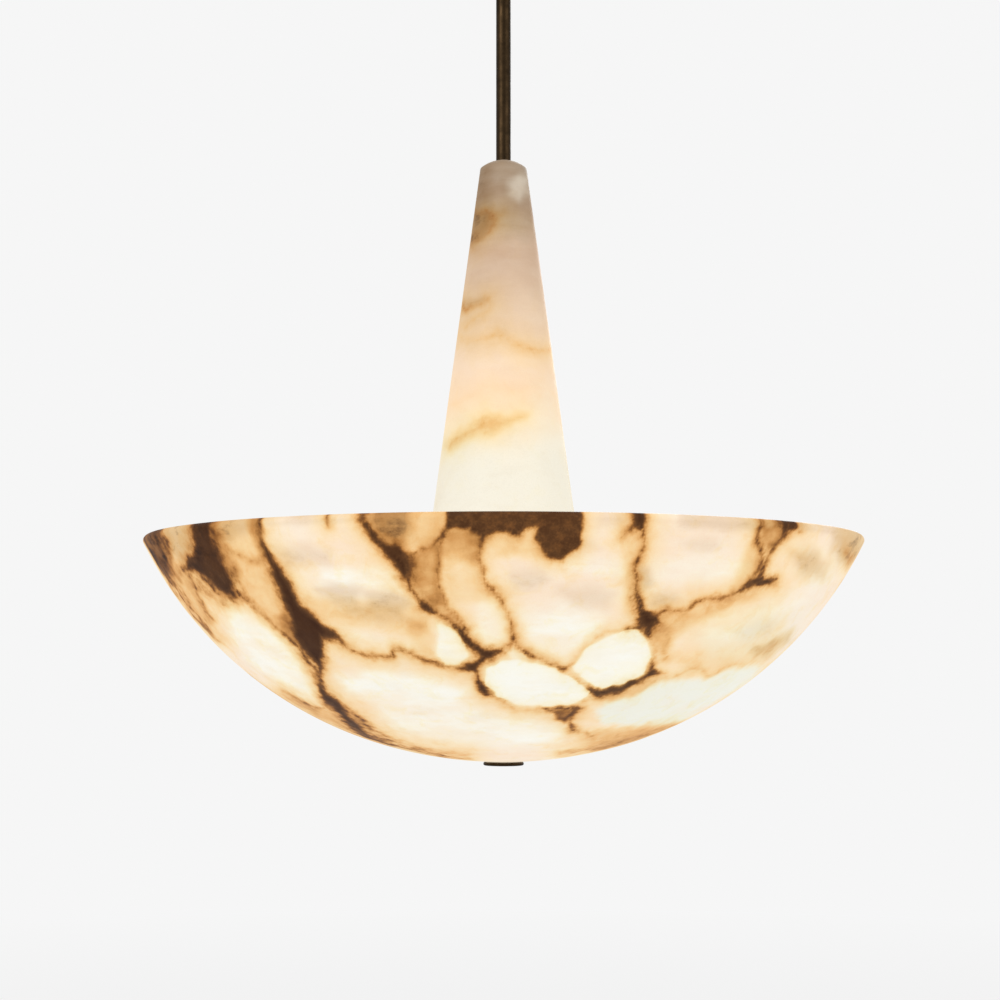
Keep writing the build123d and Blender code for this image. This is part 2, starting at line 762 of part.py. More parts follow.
def lamp_cap(plane):
    """The lamp's screw cap: contact, threaded cup and flange."""
    flange_out = cap_end_out - lamp_flange_thickness
    return turned(
        plane,
        (contact_out, 0),
        (contact_out, lamp_contact_radius),
        (cap_out, lamp_contact_radius),
        (cap_out, lamp_cap_radius),
        (flange_out, lamp_cap_radius),
        (flange_out, lamp_flange_radius),
        (cap_end_out, lamp_flange_radius),
        (cap_end_out, lamp_cap_radius - lamp_cap_wall),
        (cap_out + lamp_cap_wall, lamp_cap_radius - lamp_cap_wall),
        (cap_out + lamp_cap_wall, 0),
    )


def globe_profile(shrink):
    """Half outline of the lamp glass, smaller by shrink all round but open at the cap."""
    radius = globe_radius - shrink
    neck = lamp_flange_radius - shrink
    neck_reach = sqrt(radius**2 - neck**2)
    with BuildSketch() as outline:
        with BuildLine():
            Polyline((globe_out + radius, 0), (cap_end_out, 0), (cap_end_out, neck), close=False)
            Line((cap_end_out, neck), (globe_out - neck_reach, neck))
            RadiusArc((globe_out - neck_reach, neck), (globe_out + radius, 0), radius)
        make_face()
        joint = outline.vertices().sort_by_distance((globe_out - neck_reach, neck))[0]
        fillet(joint, globe_neck_round + shrink)
    return outline.sketch


def lamp_glass(plane):
    """Opal globe lamp, a thin shell with its neck on the cap."""
    with BuildPart() as made:
        with BuildSketch(plane):
            add(globe_profile(0))
            add(globe_profile(globe_wall), mode=Mode.SUBTRACT)
        revolve(axis=Axis(plane.origin, plane.x_dir))
    return made.part


lamp_planes = [lamp_plane(index) for index in range(lamp_count)]
for index, plane in enumerate(lamp_planes):
    for make in (arm, arm_wires, holder, holder_shell, lamp_cap, lamp_glass):
        save(f"{make.__name__}_{index + 1}", make(plane))

# ---------------------------------------------------------------- junction body

with BuildPart() as junction_body:
    with BuildSketch(Plane.XZ):
        with BuildLine():
            Polyline(
                (thread_bore, gallery_foot_z),
                (gallery_boss_radius, gallery_foot_z),
                (gallery_boss_radius, hub_top_z),
                (hub_radius, hub_top_z),
                (hub_radius, hub_foot_z),
                (hub_bore, hub_foot_z),
                (hub_bore, hub_top_z - hub_top_wall),
                (thread_bore, hub_top_z - hub_top_wall),
                close=True,
            )
        make_face()
    revolve(axis=Axis.Z)
    outer_edges = junction_body.edges().filter_by(GeomType.CIRCLE).group_by(SortBy.RADIUS)[-1]
    fillet(outer_edges.sort_by(Axis.Z)[-1], hub_edge_round)
    for plane in lamp_planes:
        with BuildSketch(across(plane).offset(arm_seat_out)):
            Circle(collar_seat_radius)
        extrude(amount=arm_collar_radius, mode=Mode.SUBTRACT)
        with BuildSketch(across(plane).offset(arm_inner_out - arm_inner_end)):
            Circle(thread_bore)
        extrude(amount=hub_radius - hub_bore + 2 * arm_inner_end, mode=Mode.SUBTRACT)
save("junction_body", junction_body.part)

with BuildPart() as junction_cover:
    with BuildSketch(Plane.XY.offset(cover_foot_z)):
        Circle(hub_radius)
    extrude(amount=cover_thickness)
    fillet(junction_cover.edges().group_by(Axis.Z)[0], cover_edge_round)
    with BuildSketch(Plane.XY.offset(hub_foot_z)):
        Circle(hub_bore - thread_gap)
        Circle(hub_bore - thread_gap - cover_spigot_wall, mode=Mode.SUBTRACT)
    extrude(amount=cover_spigot_height)
    with BuildSketch(Plane.XY.offset(cover_foot_z)):
        Circle(thread_bore)
    extrude(amount=cover_thickness, mode=Mode.SUBTRACT)
save("junction_cover", junction_cover.part)

with BuildPart() as connector_block:
    with BuildSketch(Plane.XY.offset(connector_foot_z)):
        Circle(connector_radius)
    extrude(amount=connector_height)
    with BuildSketch(Plane.XY.offset(connector_top_z)):
        Circle(lead_radius + thread_gap)
    extrude(amount=-connector_hole_depth, mode=Mode.SUBTRACT)
    for plane in lamp_planes:
        with BuildSketch(across(plane).offset(wire_inner_out)):
            with Locations((-wire_spread, 0), (wire_spread, 0)):
                Circle(wire_radius + thread_gap)
        extrude(amount=2 * wire_hold, mode=Mode.SUBTRACT)
save("connector_block", connector_block.part)

# ---------------------------------------------------------------- bowl and its clamp

tie_rod_top_z = hub_foot_z + nut_height + tube_end
save("tie_rod", tube(0, tube_radius, tie_rod_foot_z, tie_rod_top_z))
save("tie_rod_nut", hexagon_nut(nut_flats, thread_bore, hub_foot_z, nut_height))
save("stem_sleeve", tube(tube_radius + slide_gap, rod_radius, lock_nut_top_z, cover_foot_z))
save("bowl_lock_nut", hexagon_nut(lock_nut_flats, thread_bore, plate_top_z, lock_nut_height))

with BuildPart() as bowl_plate:
    with BuildSketch(Plane.XY.offset(plate_foot_z)):
        Circle(plate_radius)
    extrude(amount=plate_thickness)
    chamfer(bowl_plate.edges().group_by(Axis.Z)[-1], plate_edge_bevel)
    with BuildSketch(Plane.XY.offset(plate_foot_z)):
        Circle(thread_bore)
    extrude(amount=plate_thickness, mode=Mode.SUBTRACT)
save("bowl_plate", bowl_plate.part)

save(
    "bowl_gasket_upper",
    tube(plate_radius - floor_gasket_width, plate_radius, floor_z, plate_foot_z),
)

with BuildPart() as bowl:
    inner_rim_angle = acos((shoulder_z - rim_z) / (shoulder_radius - bowl_wall))
    inner_rim_r = shoulder_r + (shoulder_radius - bowl_wall) * sin(inner_rim_angle)
    rim_angle = asin((bowl_rim_radius - shoulder_r) / shoulder_radius)
    foot_angle = asin(foot_radius / bowl_bottom_radius)
    floor_angle = asin(floor_radius / (bowl_bottom_radius - bowl_wall))
    bottom_centre = (0, bottom_centre_z)
    shoulder_centre = (shoulder_r, shoulder_z)
    with BuildSketch(Plane.XZ):
        with BuildLine():
            Line((bowl_hole_radius, foot_z), (foot_radius, foot_z))
            down_arc(bottom_centre, bowl_bottom_radius, foot_angle, join_angle)
            down_arc(shoulder_centre, shoulder_radius, join_angle, rim_angle)
            Line((bowl_rim_radius, rim_z), (inner_rim_r, rim_z))
            down_arc(shoulder_centre, shoulder_radius - bowl_wall, join_angle, inner_rim_angle)
            down_arc(bottom_centre, bowl_bottom_radius - bowl_wall, floor_angle, join_angle)
            Polyline((floor_radius, floor_z), (bowl_hole_radius, floor_z), (bowl_hole_radius, foot_z))
        make_face()
    revolve(axis=Axis.Z)
    rim_edges = bowl.edges().filter_by(GeomType.CIRCLE).group_by(Axis.Z)[-1]
    fillet(rim_edges.sort_by(SortBy.RADIUS)[-1], bowl_rim_outer_round)
    rim_edges = bowl.edges().filter_by(GeomType.CIRCLE).group_by(Axis.Z)[-1]
    fillet(rim_edges.sort_by(SortBy.RADIUS)[0], bowl_rim_inner_round)
save("bowl", bowl.part)

lower_gasket_bore = finial_spigot_radius + slide_gap
save(
    "bowl_gasket_lower",
    tube(lower_gasket_bore, lower_gasket_bore + finial_gasket_width, finial_top_z, foot_z),
)

with BuildPart() as finial:
    with BuildSketch(Plane.XY.offset(finial_foot_z)):
        Circle(finial_radius)
    extrude(amount=finial_thickness)
    fillet(finial.edges(), finial_edge_round)
    with BuildSketch(Plane.XY.offset(finial_top_z)):
        Circle(finial_spigot_radius)
    extrude(amount=finial_spigot_height)
    with BuildSketch(Plane.XY.offset(finial_foot_z + finial_floor)):
        Circle(thread_bore)
    extrude(amount=finial_thickness + finial_spigot_height, mode=Mode.SUBTRACT)
save("finial", finial.part)
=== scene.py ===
"""Alabaster bowl pendant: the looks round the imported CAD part. Metres, in the part's own frame."""

import json
from math import asin, atan2, cos, pi, radians, sin, sqrt

import bpy
import numpy as np
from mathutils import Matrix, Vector, noise


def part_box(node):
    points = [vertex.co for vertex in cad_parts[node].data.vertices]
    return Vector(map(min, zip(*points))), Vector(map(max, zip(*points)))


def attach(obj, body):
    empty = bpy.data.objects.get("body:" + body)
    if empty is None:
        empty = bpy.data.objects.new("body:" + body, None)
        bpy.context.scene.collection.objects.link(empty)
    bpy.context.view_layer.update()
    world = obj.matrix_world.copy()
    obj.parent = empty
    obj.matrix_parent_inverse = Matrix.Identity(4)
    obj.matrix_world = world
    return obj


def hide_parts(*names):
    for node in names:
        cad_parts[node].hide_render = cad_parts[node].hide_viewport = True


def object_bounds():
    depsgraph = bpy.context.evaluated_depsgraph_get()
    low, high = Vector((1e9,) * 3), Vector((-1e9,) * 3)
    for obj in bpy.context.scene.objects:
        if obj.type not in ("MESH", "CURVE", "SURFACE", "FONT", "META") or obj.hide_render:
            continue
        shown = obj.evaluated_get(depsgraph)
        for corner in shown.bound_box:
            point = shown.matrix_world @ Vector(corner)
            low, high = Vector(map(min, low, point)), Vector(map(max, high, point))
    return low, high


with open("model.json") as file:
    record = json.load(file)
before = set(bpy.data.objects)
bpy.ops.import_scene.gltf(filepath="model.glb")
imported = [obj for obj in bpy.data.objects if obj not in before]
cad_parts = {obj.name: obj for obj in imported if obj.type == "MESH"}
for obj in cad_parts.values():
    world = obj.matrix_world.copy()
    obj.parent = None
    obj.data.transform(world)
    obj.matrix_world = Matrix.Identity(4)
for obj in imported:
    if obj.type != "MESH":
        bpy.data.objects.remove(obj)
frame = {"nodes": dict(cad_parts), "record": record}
cad_low, cad_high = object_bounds()

NOISE_SEED = 2
noise.seed_set(NOISE_SEED)  # unseeded, the noise behind uneven edges would lie elsewhere each run

# --- photograph and camera

PHOTO_SIZE = 1000  # pixels each way
CAMERA_DISTANCE = 1.5  # in front of the pendant's axis
CAMERA_BELOW_RIM = 0.103
CAMERA_SIDE = -0.003
CAMERA_PITCH = radians(5.25)  # looks up
FOCAL_PIXELS = 1775.0
SENSOR_WIDTH = 36.0

# --- sizes, as in the part

RIM_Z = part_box("bowl")[1].z
BOWL_FOOT_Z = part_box("bowl")[0].z
BOWL_RIM_RADIUS = 0.3015  # sharp edge, before it is rounded
BOWL_DEPTH = 0.185
BOTTOM_ARC = 0.355
BOTTOM_ARC_Z = RIM_Z - BOWL_DEPTH + BOTTOM_ARC  # its centre
JOIN_ANGLE = radians(16.5)
BOWL_WALL = 0.011
RIM_OUTER_ROUND = 0.0035
RIM_INNER_ROUND = 0.003
BOWL_HOLE = 0.0086
BOWL_FOOT = 0.0175
BOWL_FLOOR = 0.033

CONE_FOOT_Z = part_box("cone")[0].z
CONE_HEIGHT = 0.3515
CONE_FOOT = 0.067
CONE_TOP = 0.020
CONE_WALL = 0.009
CONE_CAP = 0.016
CONE_DOME_RISE = 0.0073
CONE_SHOULDER_ROUND = 0.002
CONE_HOLE = 0.0082

# steps between the rows of the stones' meshes
BOWL_STEP = 0.0028
RIM_STEP = 0.0011
BOWL_INSIDE_STEP = 0.010
CONE_STEP = 0.0026
SHOULDER_STEP = 0.0006
DOME_STEP = 0.0012
HOLE_STEP = 0.004
CONE_INSIDE_STEP = 0.012

LAMP_COUNT = 4
LAMP_FIRST_ANGLE = radians(45)
LAMP_TILT = radians(10)  # above level
LAMP_BELOW_RIM = 0.063861  # where the lamps' axes meet the pendant's
CAP_OUT = 0.060110  # from there to a lamp's contact
CAP_LENGTH = 0.0195
CAP_RADIUS = 0.00695
CAP_FLANGE = 0.0082
THREAD_PITCH = 0.00282
THREAD_DEPTH = 0.0005
THREAD_START, THREAD_END = 0.0040, 0.0176  # from the contact
THREAD_ROWS = 56
CAP_COLUMNS = 48

SHARP_ANGLE = radians(50)  # edges over it aren't smoothed

camera_place = np.array((CAMERA_SIDE, -CAMERA_DISTANCE, RIM_Z - CAMERA_BELOW_RIM))


def photo_of(points):
    """Pixel of the photograph, x and y, where each point shows."""
    x, y, z = (points - camera_place).T
    depth = y * cos(CAMERA_PITCH) + z * sin(CAMERA_PITCH)
    up = z * cos(CAMERA_PITCH) - y * sin(CAMERA_PITCH)
    half = PHOTO_SIZE / 2
    return half + FOCAL_PIXELS * x / depth, half - FOCAL_PIXELS * up / depth


def smooth_step(low, high, values):
    t = np.clip((values - low) / (high - low), 0, 1)
    return t * t * (3 - 2 * t)


# --- objects and turned stones


def add_object(name, data, place=(0, 0, 0), turn=(0, 0, 0)):
    piece = bpy.data.objects.new(name, data)
    piece.location = place
    piece.rotation_euler = turn
    bpy.context.scene.collection.objects.link(piece)
    return piece


def add_mesh(name, vertices, faces):
    mesh = bpy.data.meshes.new(name)
    mesh.from_pydata(vertices, [], faces)
    mesh.shade_smooth()
    mesh.set_sharp_from_angle(angle=SHARP_ANGLE)
    return add_object(name, mesh)


def arc(centre, radius, start, end, step):
    """Points of an arc, by its angle from straight down, at about the given step."""
    count = max(2, round(abs(end - start) * radius / step) + 1)
    turns = np.linspace(start, end, count)
    return [(centre[0] + radius * sin(a), centre[1] - radius * cos(a)) for a in turns]


def line(start, end, step):
    count = max(2, round(sqrt((end[0] - start[0]) ** 2 + (end[1] - start[1]) ** 2) / step) + 1)
    return [tuple(p) for p in np.linspace(start, end, count)]


def joined(*runs):
    """One list of points, without the doubles where runs meet."""
    points = list(runs[0])
    for run in runs[1:]:
        r, z = points[-1]
        points += [p for p in run if abs(p[0] - r) + abs(p[1] - z) > 1e-7]
    return points


def bowl_profile():
    """(outside, rim, inside) runs of (r, z), from the bottom up, over the rim and down."""
    bottom = (0.0, BOTTOM_ARC_Z)
    join = (BOTTOM_ARC * sin(JOIN_ANGLE), bottom[1] - BOTTOM_ARC * cos(JOIN_ANGLE))
    reach_r, reach_z = BOWL_RIM_RADIUS - join[0], RIM_Z - join[1]
    across = reach_z * cos(JOIN_ANGLE) - reach_r * sin(JOIN_ANGLE)
    shoulder = (reach_r**2 + reach_z**2) / (2 * across)
    centre = (join[0] - shoulder * sin(JOIN_ANGLE), join[1] + shoulder * cos(JOIN_ANGLE))
    # rounds of the rim, each tangent to its wall and to the flat top
    out_z, in_z = RIM_Z - RIM_OUTER_ROUND, RIM_Z - RIM_INNER_ROUND
    inner = shoulder - BOWL_WALL
    out_r = centre[0] + sqrt((shoulder - RIM_OUTER_ROUND) ** 2 - (out_z - centre[1]) ** 2)
    in_r = centre[0] + sqrt((inner + RIM_INNER_ROUND) ** 2 - (in_z - centre[1]) ** 2)
    out_angle = atan2(out_r - centre[0], centre[1] - out_z)
    in_angle = atan2(in_r - centre[0], centre[1] - in_z)
    outside = joined(
        [(BOWL_HOLE, BOWL_FOOT_Z)],
        arc(bottom, BOTTOM_ARC, asin(BOWL_FOOT / BOTTOM_ARC), JOIN_ANGLE, BOWL_STEP),
        arc(centre, shoulder, JOIN_ANGLE, out_angle, BOWL_STEP),
    )
    rim = joined(
        arc((out_r, out_z), RIM_OUTER_ROUND, out_angle, pi, RIM_STEP),
        arc((in_r, in_z), RIM_INNER_ROUND, pi, in_angle + pi, RIM_STEP),
    )
    floor_arc = BOTTOM_ARC - BOWL_WALL
    inside = joined(
        arc(centre, inner, in_angle, JOIN_ANGLE, BOWL_INSIDE_STEP),
        arc(bottom, floor_arc, JOIN_ANGLE, asin(BOWL_FLOOR / floor_arc), BOWL_INSIDE_STEP),
        [(BOWL_HOLE, bottom[1] - sqrt(floor_arc**2 - BOWL_FLOOR**2))],
    )
    return outside, rim, inside


def turned(r, z, angles):
    """Each (r, z) at each angle about Z, as (n, 3)."""
    level = np.repeat(z[:, None], len(angles), 1)
    return np.stack([np.outer(r, np.cos(angles)), np.outer(r, np.sin(angles)), level], -1).reshape(-1, 3)


def turned_mesh(name, profile, angles):
    """Closed solid of revolution: a quad grid over the closed profile and the given angles."""
    rows, columns = len(profile), len(angles)
    vertices = turned(*np.array(profile).T, angles)
    row, column = np.meshgrid(np.arange(rows), np.arange(columns), indexing="ij")
    row, column = row.ravel(), column.ravel()
    next_row, next_column = (row + 1) % rows, (column + 1) % columns
    corners = [row * columns + column, row * columns + next_column]
    corners += [next_row * columns + next_column, next_row * columns + column]
    return add_mesh(name, vertices.tolist(), np.stack(corners, 1).tolist()), vertices


def front_fine_angles(fine, coarse):
    """Angles about Z: steps of fine radians over the front half and coarse over the back."""
    front = np.linspace(pi, 2 * pi, round(pi / fine), endpoint=False)
    back = np.linspace(0, pi, round(pi / coarse), endpoint=False)
    return np.concatenate([back, front])


def put_values(piece, name, values):
    layer = piece.data.attributes.new(name, "FLOAT", "POINT")
    layer.data.foreach_set("value", values.astype(np.float32))


def jitter(points, size, amount):
    """Smooth offset of each point, for uneven edges: (n, 2), in the unit of amount."""
    found = [noise.noise_vector(Vector(p) / size) for p in points]
    return np.array([(v.x, v.z) for v in found]) * amount


# --- veins and tints, placed in the photograph's pixels

# A vein is how far its soft edge is stretched, then a run of (x, y, half width in tenths of a
# pixel). Where the half width is under 0, only the soft edge is left.
BOWL_VEINS = dict(
    trunk=(1, (258, 514, -10), (260, 528, -12), (262, 540, -6), (266, 551, 10), (271, 561, 34),
        (277, 571, 46), (284, 585, 52), (291, 599, 58), (298, 613, 74), (304, 625, 100), (309, 636, 114),
        (314, 647, 90), (318, 657, 50), (320, 664, 26), (319, 674, 6), (320, 684, 6), (324, 693, 22),
        (330, 701, 42), (338, 709, 30), (345, 717, 26), (353, 725, 34), (360, 731, 20), (368, 736, 10),
        (385, 743, 6), (401, 748, 2), (425, 753, -6), (450, 757, -10), (468, 758, -24)),
    trunk_right=(1, (306, 620, 60), (316, 628, 60), (326, 634, 38), (336, 639, 16), (343, 643, -2),
        (350, 648, -13), (358, 652, -16), (368, 655, -18), (380, 656, -16), (392, 656, -10), (395, 650, -10),
        (401, 649, -14), (408, 652, -14), (419, 657, -12), (430, 662, -2), (444, 665, -10), (458, 667, -4),
        (470, 668, 18)),
    trunk_strand=(1, (332, 701, 20), (341, 706, -14), (350, 711, -16), (359, 718, -10), (366, 724, -8),
        (374, 730, -20), (388, 738, -30), (402, 743, -40)),
    lower_left=(0.9, (238, 591, 10), (245, 598, -8), (257, 610, -16), (270, 622, -18), (282, 633, -10),
        (293, 642, -4), (303, 653, 0), (313, 667, 4), (318, 677, 6)),
    left_edge=(0.8, (150, 551, -5), (160, 566, 0), (172, 583, -4), (186, 602, -8), (200, 620, -6),
        (212, 634, -6), (220, 642, -20)),
    left_inner=(0.8, (188, 574, -4), (194, 585, -8), (202, 602, -14), (212, 621, -22)),
    left_upper=(0.8, (165, 556, -12), (172, 570, -16), (181, 583, -22)),
    lower_left_cell=(0.8, (281, 690, -22), (292, 697, -18), (305, 703, -14), (317, 709, -12),
        (326, 707, -16)),
    strip_line=(1, (220, 542, -50), (236, 553, -36), (255, 561, -34), (265, 563, -20)),
    tip_streak=(0.9, (157, 531, 0), (163, 540, 6), (167, 548, 0), (170, 556, -20)),
    short_streak=(0.8, (323, 514, -6), (325, 520, -4), (327, 527, -20)),
    band=(1, (358, 513, 6), (364, 522, 22), (371, 532, 20), (380, 543, 22), (389, 553, 32), (398, 562, 46),
        (404, 572, 36), (408, 581, 12), (411, 589, 2), (417, 598, 0), (424, 606, 26), (431, 611, 14),
        (437, 615, -12), (446, 620, -12), (454, 625, 0), (461, 633, 20), (467, 641, 30), (474, 648, 26),
        (482, 652, 26), (490, 653, 28), (497, 651, 6), (505, 646, -18), (512, 640, -4)),
    column_top=(0.9, (408, 558, 0), (419, 550, -12), (431, 546, -14), (440, 539, -6), (445, 532, 4)),
    column_thumb=(0.9, (445, 532, 4), (442, 545, -16), (440, 558, -20), (438, 575, -20), (440, 592, -16),
        (446, 606, -18), (456, 616, -12), (463, 626, -4), (466, 634, 6)),
    thumb_right=(1, (485, 532, 20), (481, 543, 8), (479, 554, -6), (481, 566, -10), (485, 580, -12),
        (492, 589, 4), (499, 597, -14), (506, 612, -22), (511, 628, -20), (513, 638, 4)),
    knot_left=(0.9, (468, 666, 14), (475, 668, 36), (481, 662, 16), (485, 655, 16)),
    under_knot=(0.9, (476, 668, 22), (477, 677, 0), (481, 686, 22), (485, 691, 30), (494, 697, -14),
        (504, 702, -24)),
    right_of_knot=(0.9, (481, 664, 0), (490, 661, -14), (500, 656, -24), (507, 650, -20), (513, 641, -4)),
    above_first_cell=(0.9, (513, 640, 8), (520, 647, -12), (529, 655, 12), (537, 658, -6), (545, 661, -12),
        (556, 665, -10), (564, 668, 0), (571, 665, -26), (580, 656, -46), (590, 645, -54), (597, 637, -50),
        (606, 632, -54)),
    first_cell_low=(0.9, (487, 691, 0), (496, 699, -20), (508, 706, -38), (526, 710, -44), (544, 709, -16),
        (556, 709, 0), (570, 708, -2), (580, 704, -32), (589, 697, -50)),
    between_cells=(0.9, (566, 668, -24), (572, 675, -40), (578, 682, -18), (586, 686, -26), (592, 690, 10)),
    knot_under=(0.9, (552, 709, -14), (556, 716, -28), (563, 720, -28), (569, 717, -12), (575, 711, 16),
        (581, 707, 4)),
    knot_tail=(0.9, (571, 716, -6), (572, 722, -10), (573, 728, 10), (578, 733, -24), (592, 736, -28)),
    under_second=(0.9, (588, 690, 6), (596, 693, 22), (606, 693, 22), (614, 690, 20), (624, 686, 22),
        (634, 681, 20), (642, 678, 6), (648, 674, 12), (652, 672, 28), (657, 674, 6), (663, 676, -30)),
    second_right=(0.9, (646, 624, 34), (649, 634, 16), (653, 643, -42), (655, 652, -54), (653, 661, -18),
        (652, 669, 26)),
    second_curl=(0.9, (656, 651, -44), (663, 653, -36), (666, 657, -34), (660, 661, -42)),
    second_top=(0.9, (600, 634, -54), (612, 631, -50), (622, 632, -30), (627, 631, 6), (633, 629, 0),
        (640, 627, 16), (646, 623, 30)),
    upright_top=(1, (641, 512, 40), (641, 521, 54), (643, 528, 26)),
    upright=(1, (643, 528, 12), (645, 540, -4), (642, 553, -6), (637, 566, -8), (635, 577, -2),
        (637, 590, -4), (639, 601, 10), (642, 611, 24), (646, 619, 50), (649, 624, 40)),
    upright_knot=(1, (640, 622, 20), (648, 620, 50), (654, 619, 30), (659, 624, -10)),
    upright_branch=(0.9, (640, 524, 6), (633, 529, -6), (627, 532, -16), (621, 537, -26)),
    upright_left=(0.9, (636, 574, -14), (632, 584, -28), (631, 603, -26), (636, 612, -12)),
    rise=(1, (652, 621, 20), (659, 615, 0), (668, 611, -12), (679, 610, -18), (688, 609, -14),
        (696, 602, -16), (712, 600, -16), (723, 598, -14), (732, 595, -8), (741, 590, -2), (748, 585, 16),
        (755, 582, 30), (763, 582, 26), (770, 582, 22), (777, 579, -10)),
    rise_right=(1, (762, 580, 20), (763, 570, 4), (765, 560, -2), (770, 551, -6), (777, 543, -6),
        (783, 536, 6), (786, 528, 30), (786, 520, 20)),
    rise_left=(1, (752, 580, -6), (757, 571, -10), (760, 561, -6), (760, 550, -2), (758, 540, -2),
        (759, 530, 0), (764, 523, -4)),
    right_blob=(0.9, (779, 525, 8), (786, 526, 34), (794, 527, 14), (800, 530, -20)),
    pale_top=(1, (604, 705, -68), (614, 701, -68), (623, 700, -68), (633, 695, -63), (643, 691, -58),
        (650, 685, -48), (656, 680, -43), (666, 679, -58), (675, 678, -58), (684, 672, -48), (691, 668, -48),
        (699, 668, -48), (706, 674, -43), (712, 676, -43), (718, 672, -48), (728, 667, -48), (745, 665, -58),
        (760, 662, -68)),
    bottom_patch_low=(0.9, (560, 754, -34), (598, 748, -26), (630, 741, -22), (656, 733, -24),
        (682, 722, -34)),
    right_rim_notch=(0.9, (846, 552, -36), (849, 559, -28), (847, 566, -42)),
)

# A dark patch is how far its soft edge is stretched, how dark it gets, and an outline of (x, y).
BOWL_DARKS = dict(
    wedge=(1.5, -1.8, (192, 519), (206, 519), (211, 536), (215, 550), (221, 562), (228, 574), (232, 586),
        (236, 597), (229, 596), (220, 590), (211, 583), (204, 576), (196, 569), (184, 568), (189, 561),
        (196, 554), (193, 538)),
    wedge_spread=(1.6, 6, (192, 570), (204, 574), (214, 584), (226, 594), (224, 598), (210, 590),
        (198, 582)),
    band_side=(1.6, -1.5, (386, 547), (398, 549), (407, 555), (411, 565), (410, 575), (403, 571),
        (392, 556)),
    rim_band=(0.9, -1.3, (447, 505), (520, 505), (583, 506), (582, 524), (560, 526), (540, 524), (533, 525),
        (523, 527), (518, 535), (511, 534), (505, 530), (494, 530), (487, 534), (480, 538), (470, 529),
        (455, 527), (447, 530)),
    rim_blob=(0.7, -1.3, (538, 520), (583, 515), (583, 530), (581, 541), (577, 549), (571, 551), (566, 552),
        (560, 558), (551, 558), (544, 555), (541, 548), (538, 540)),
)

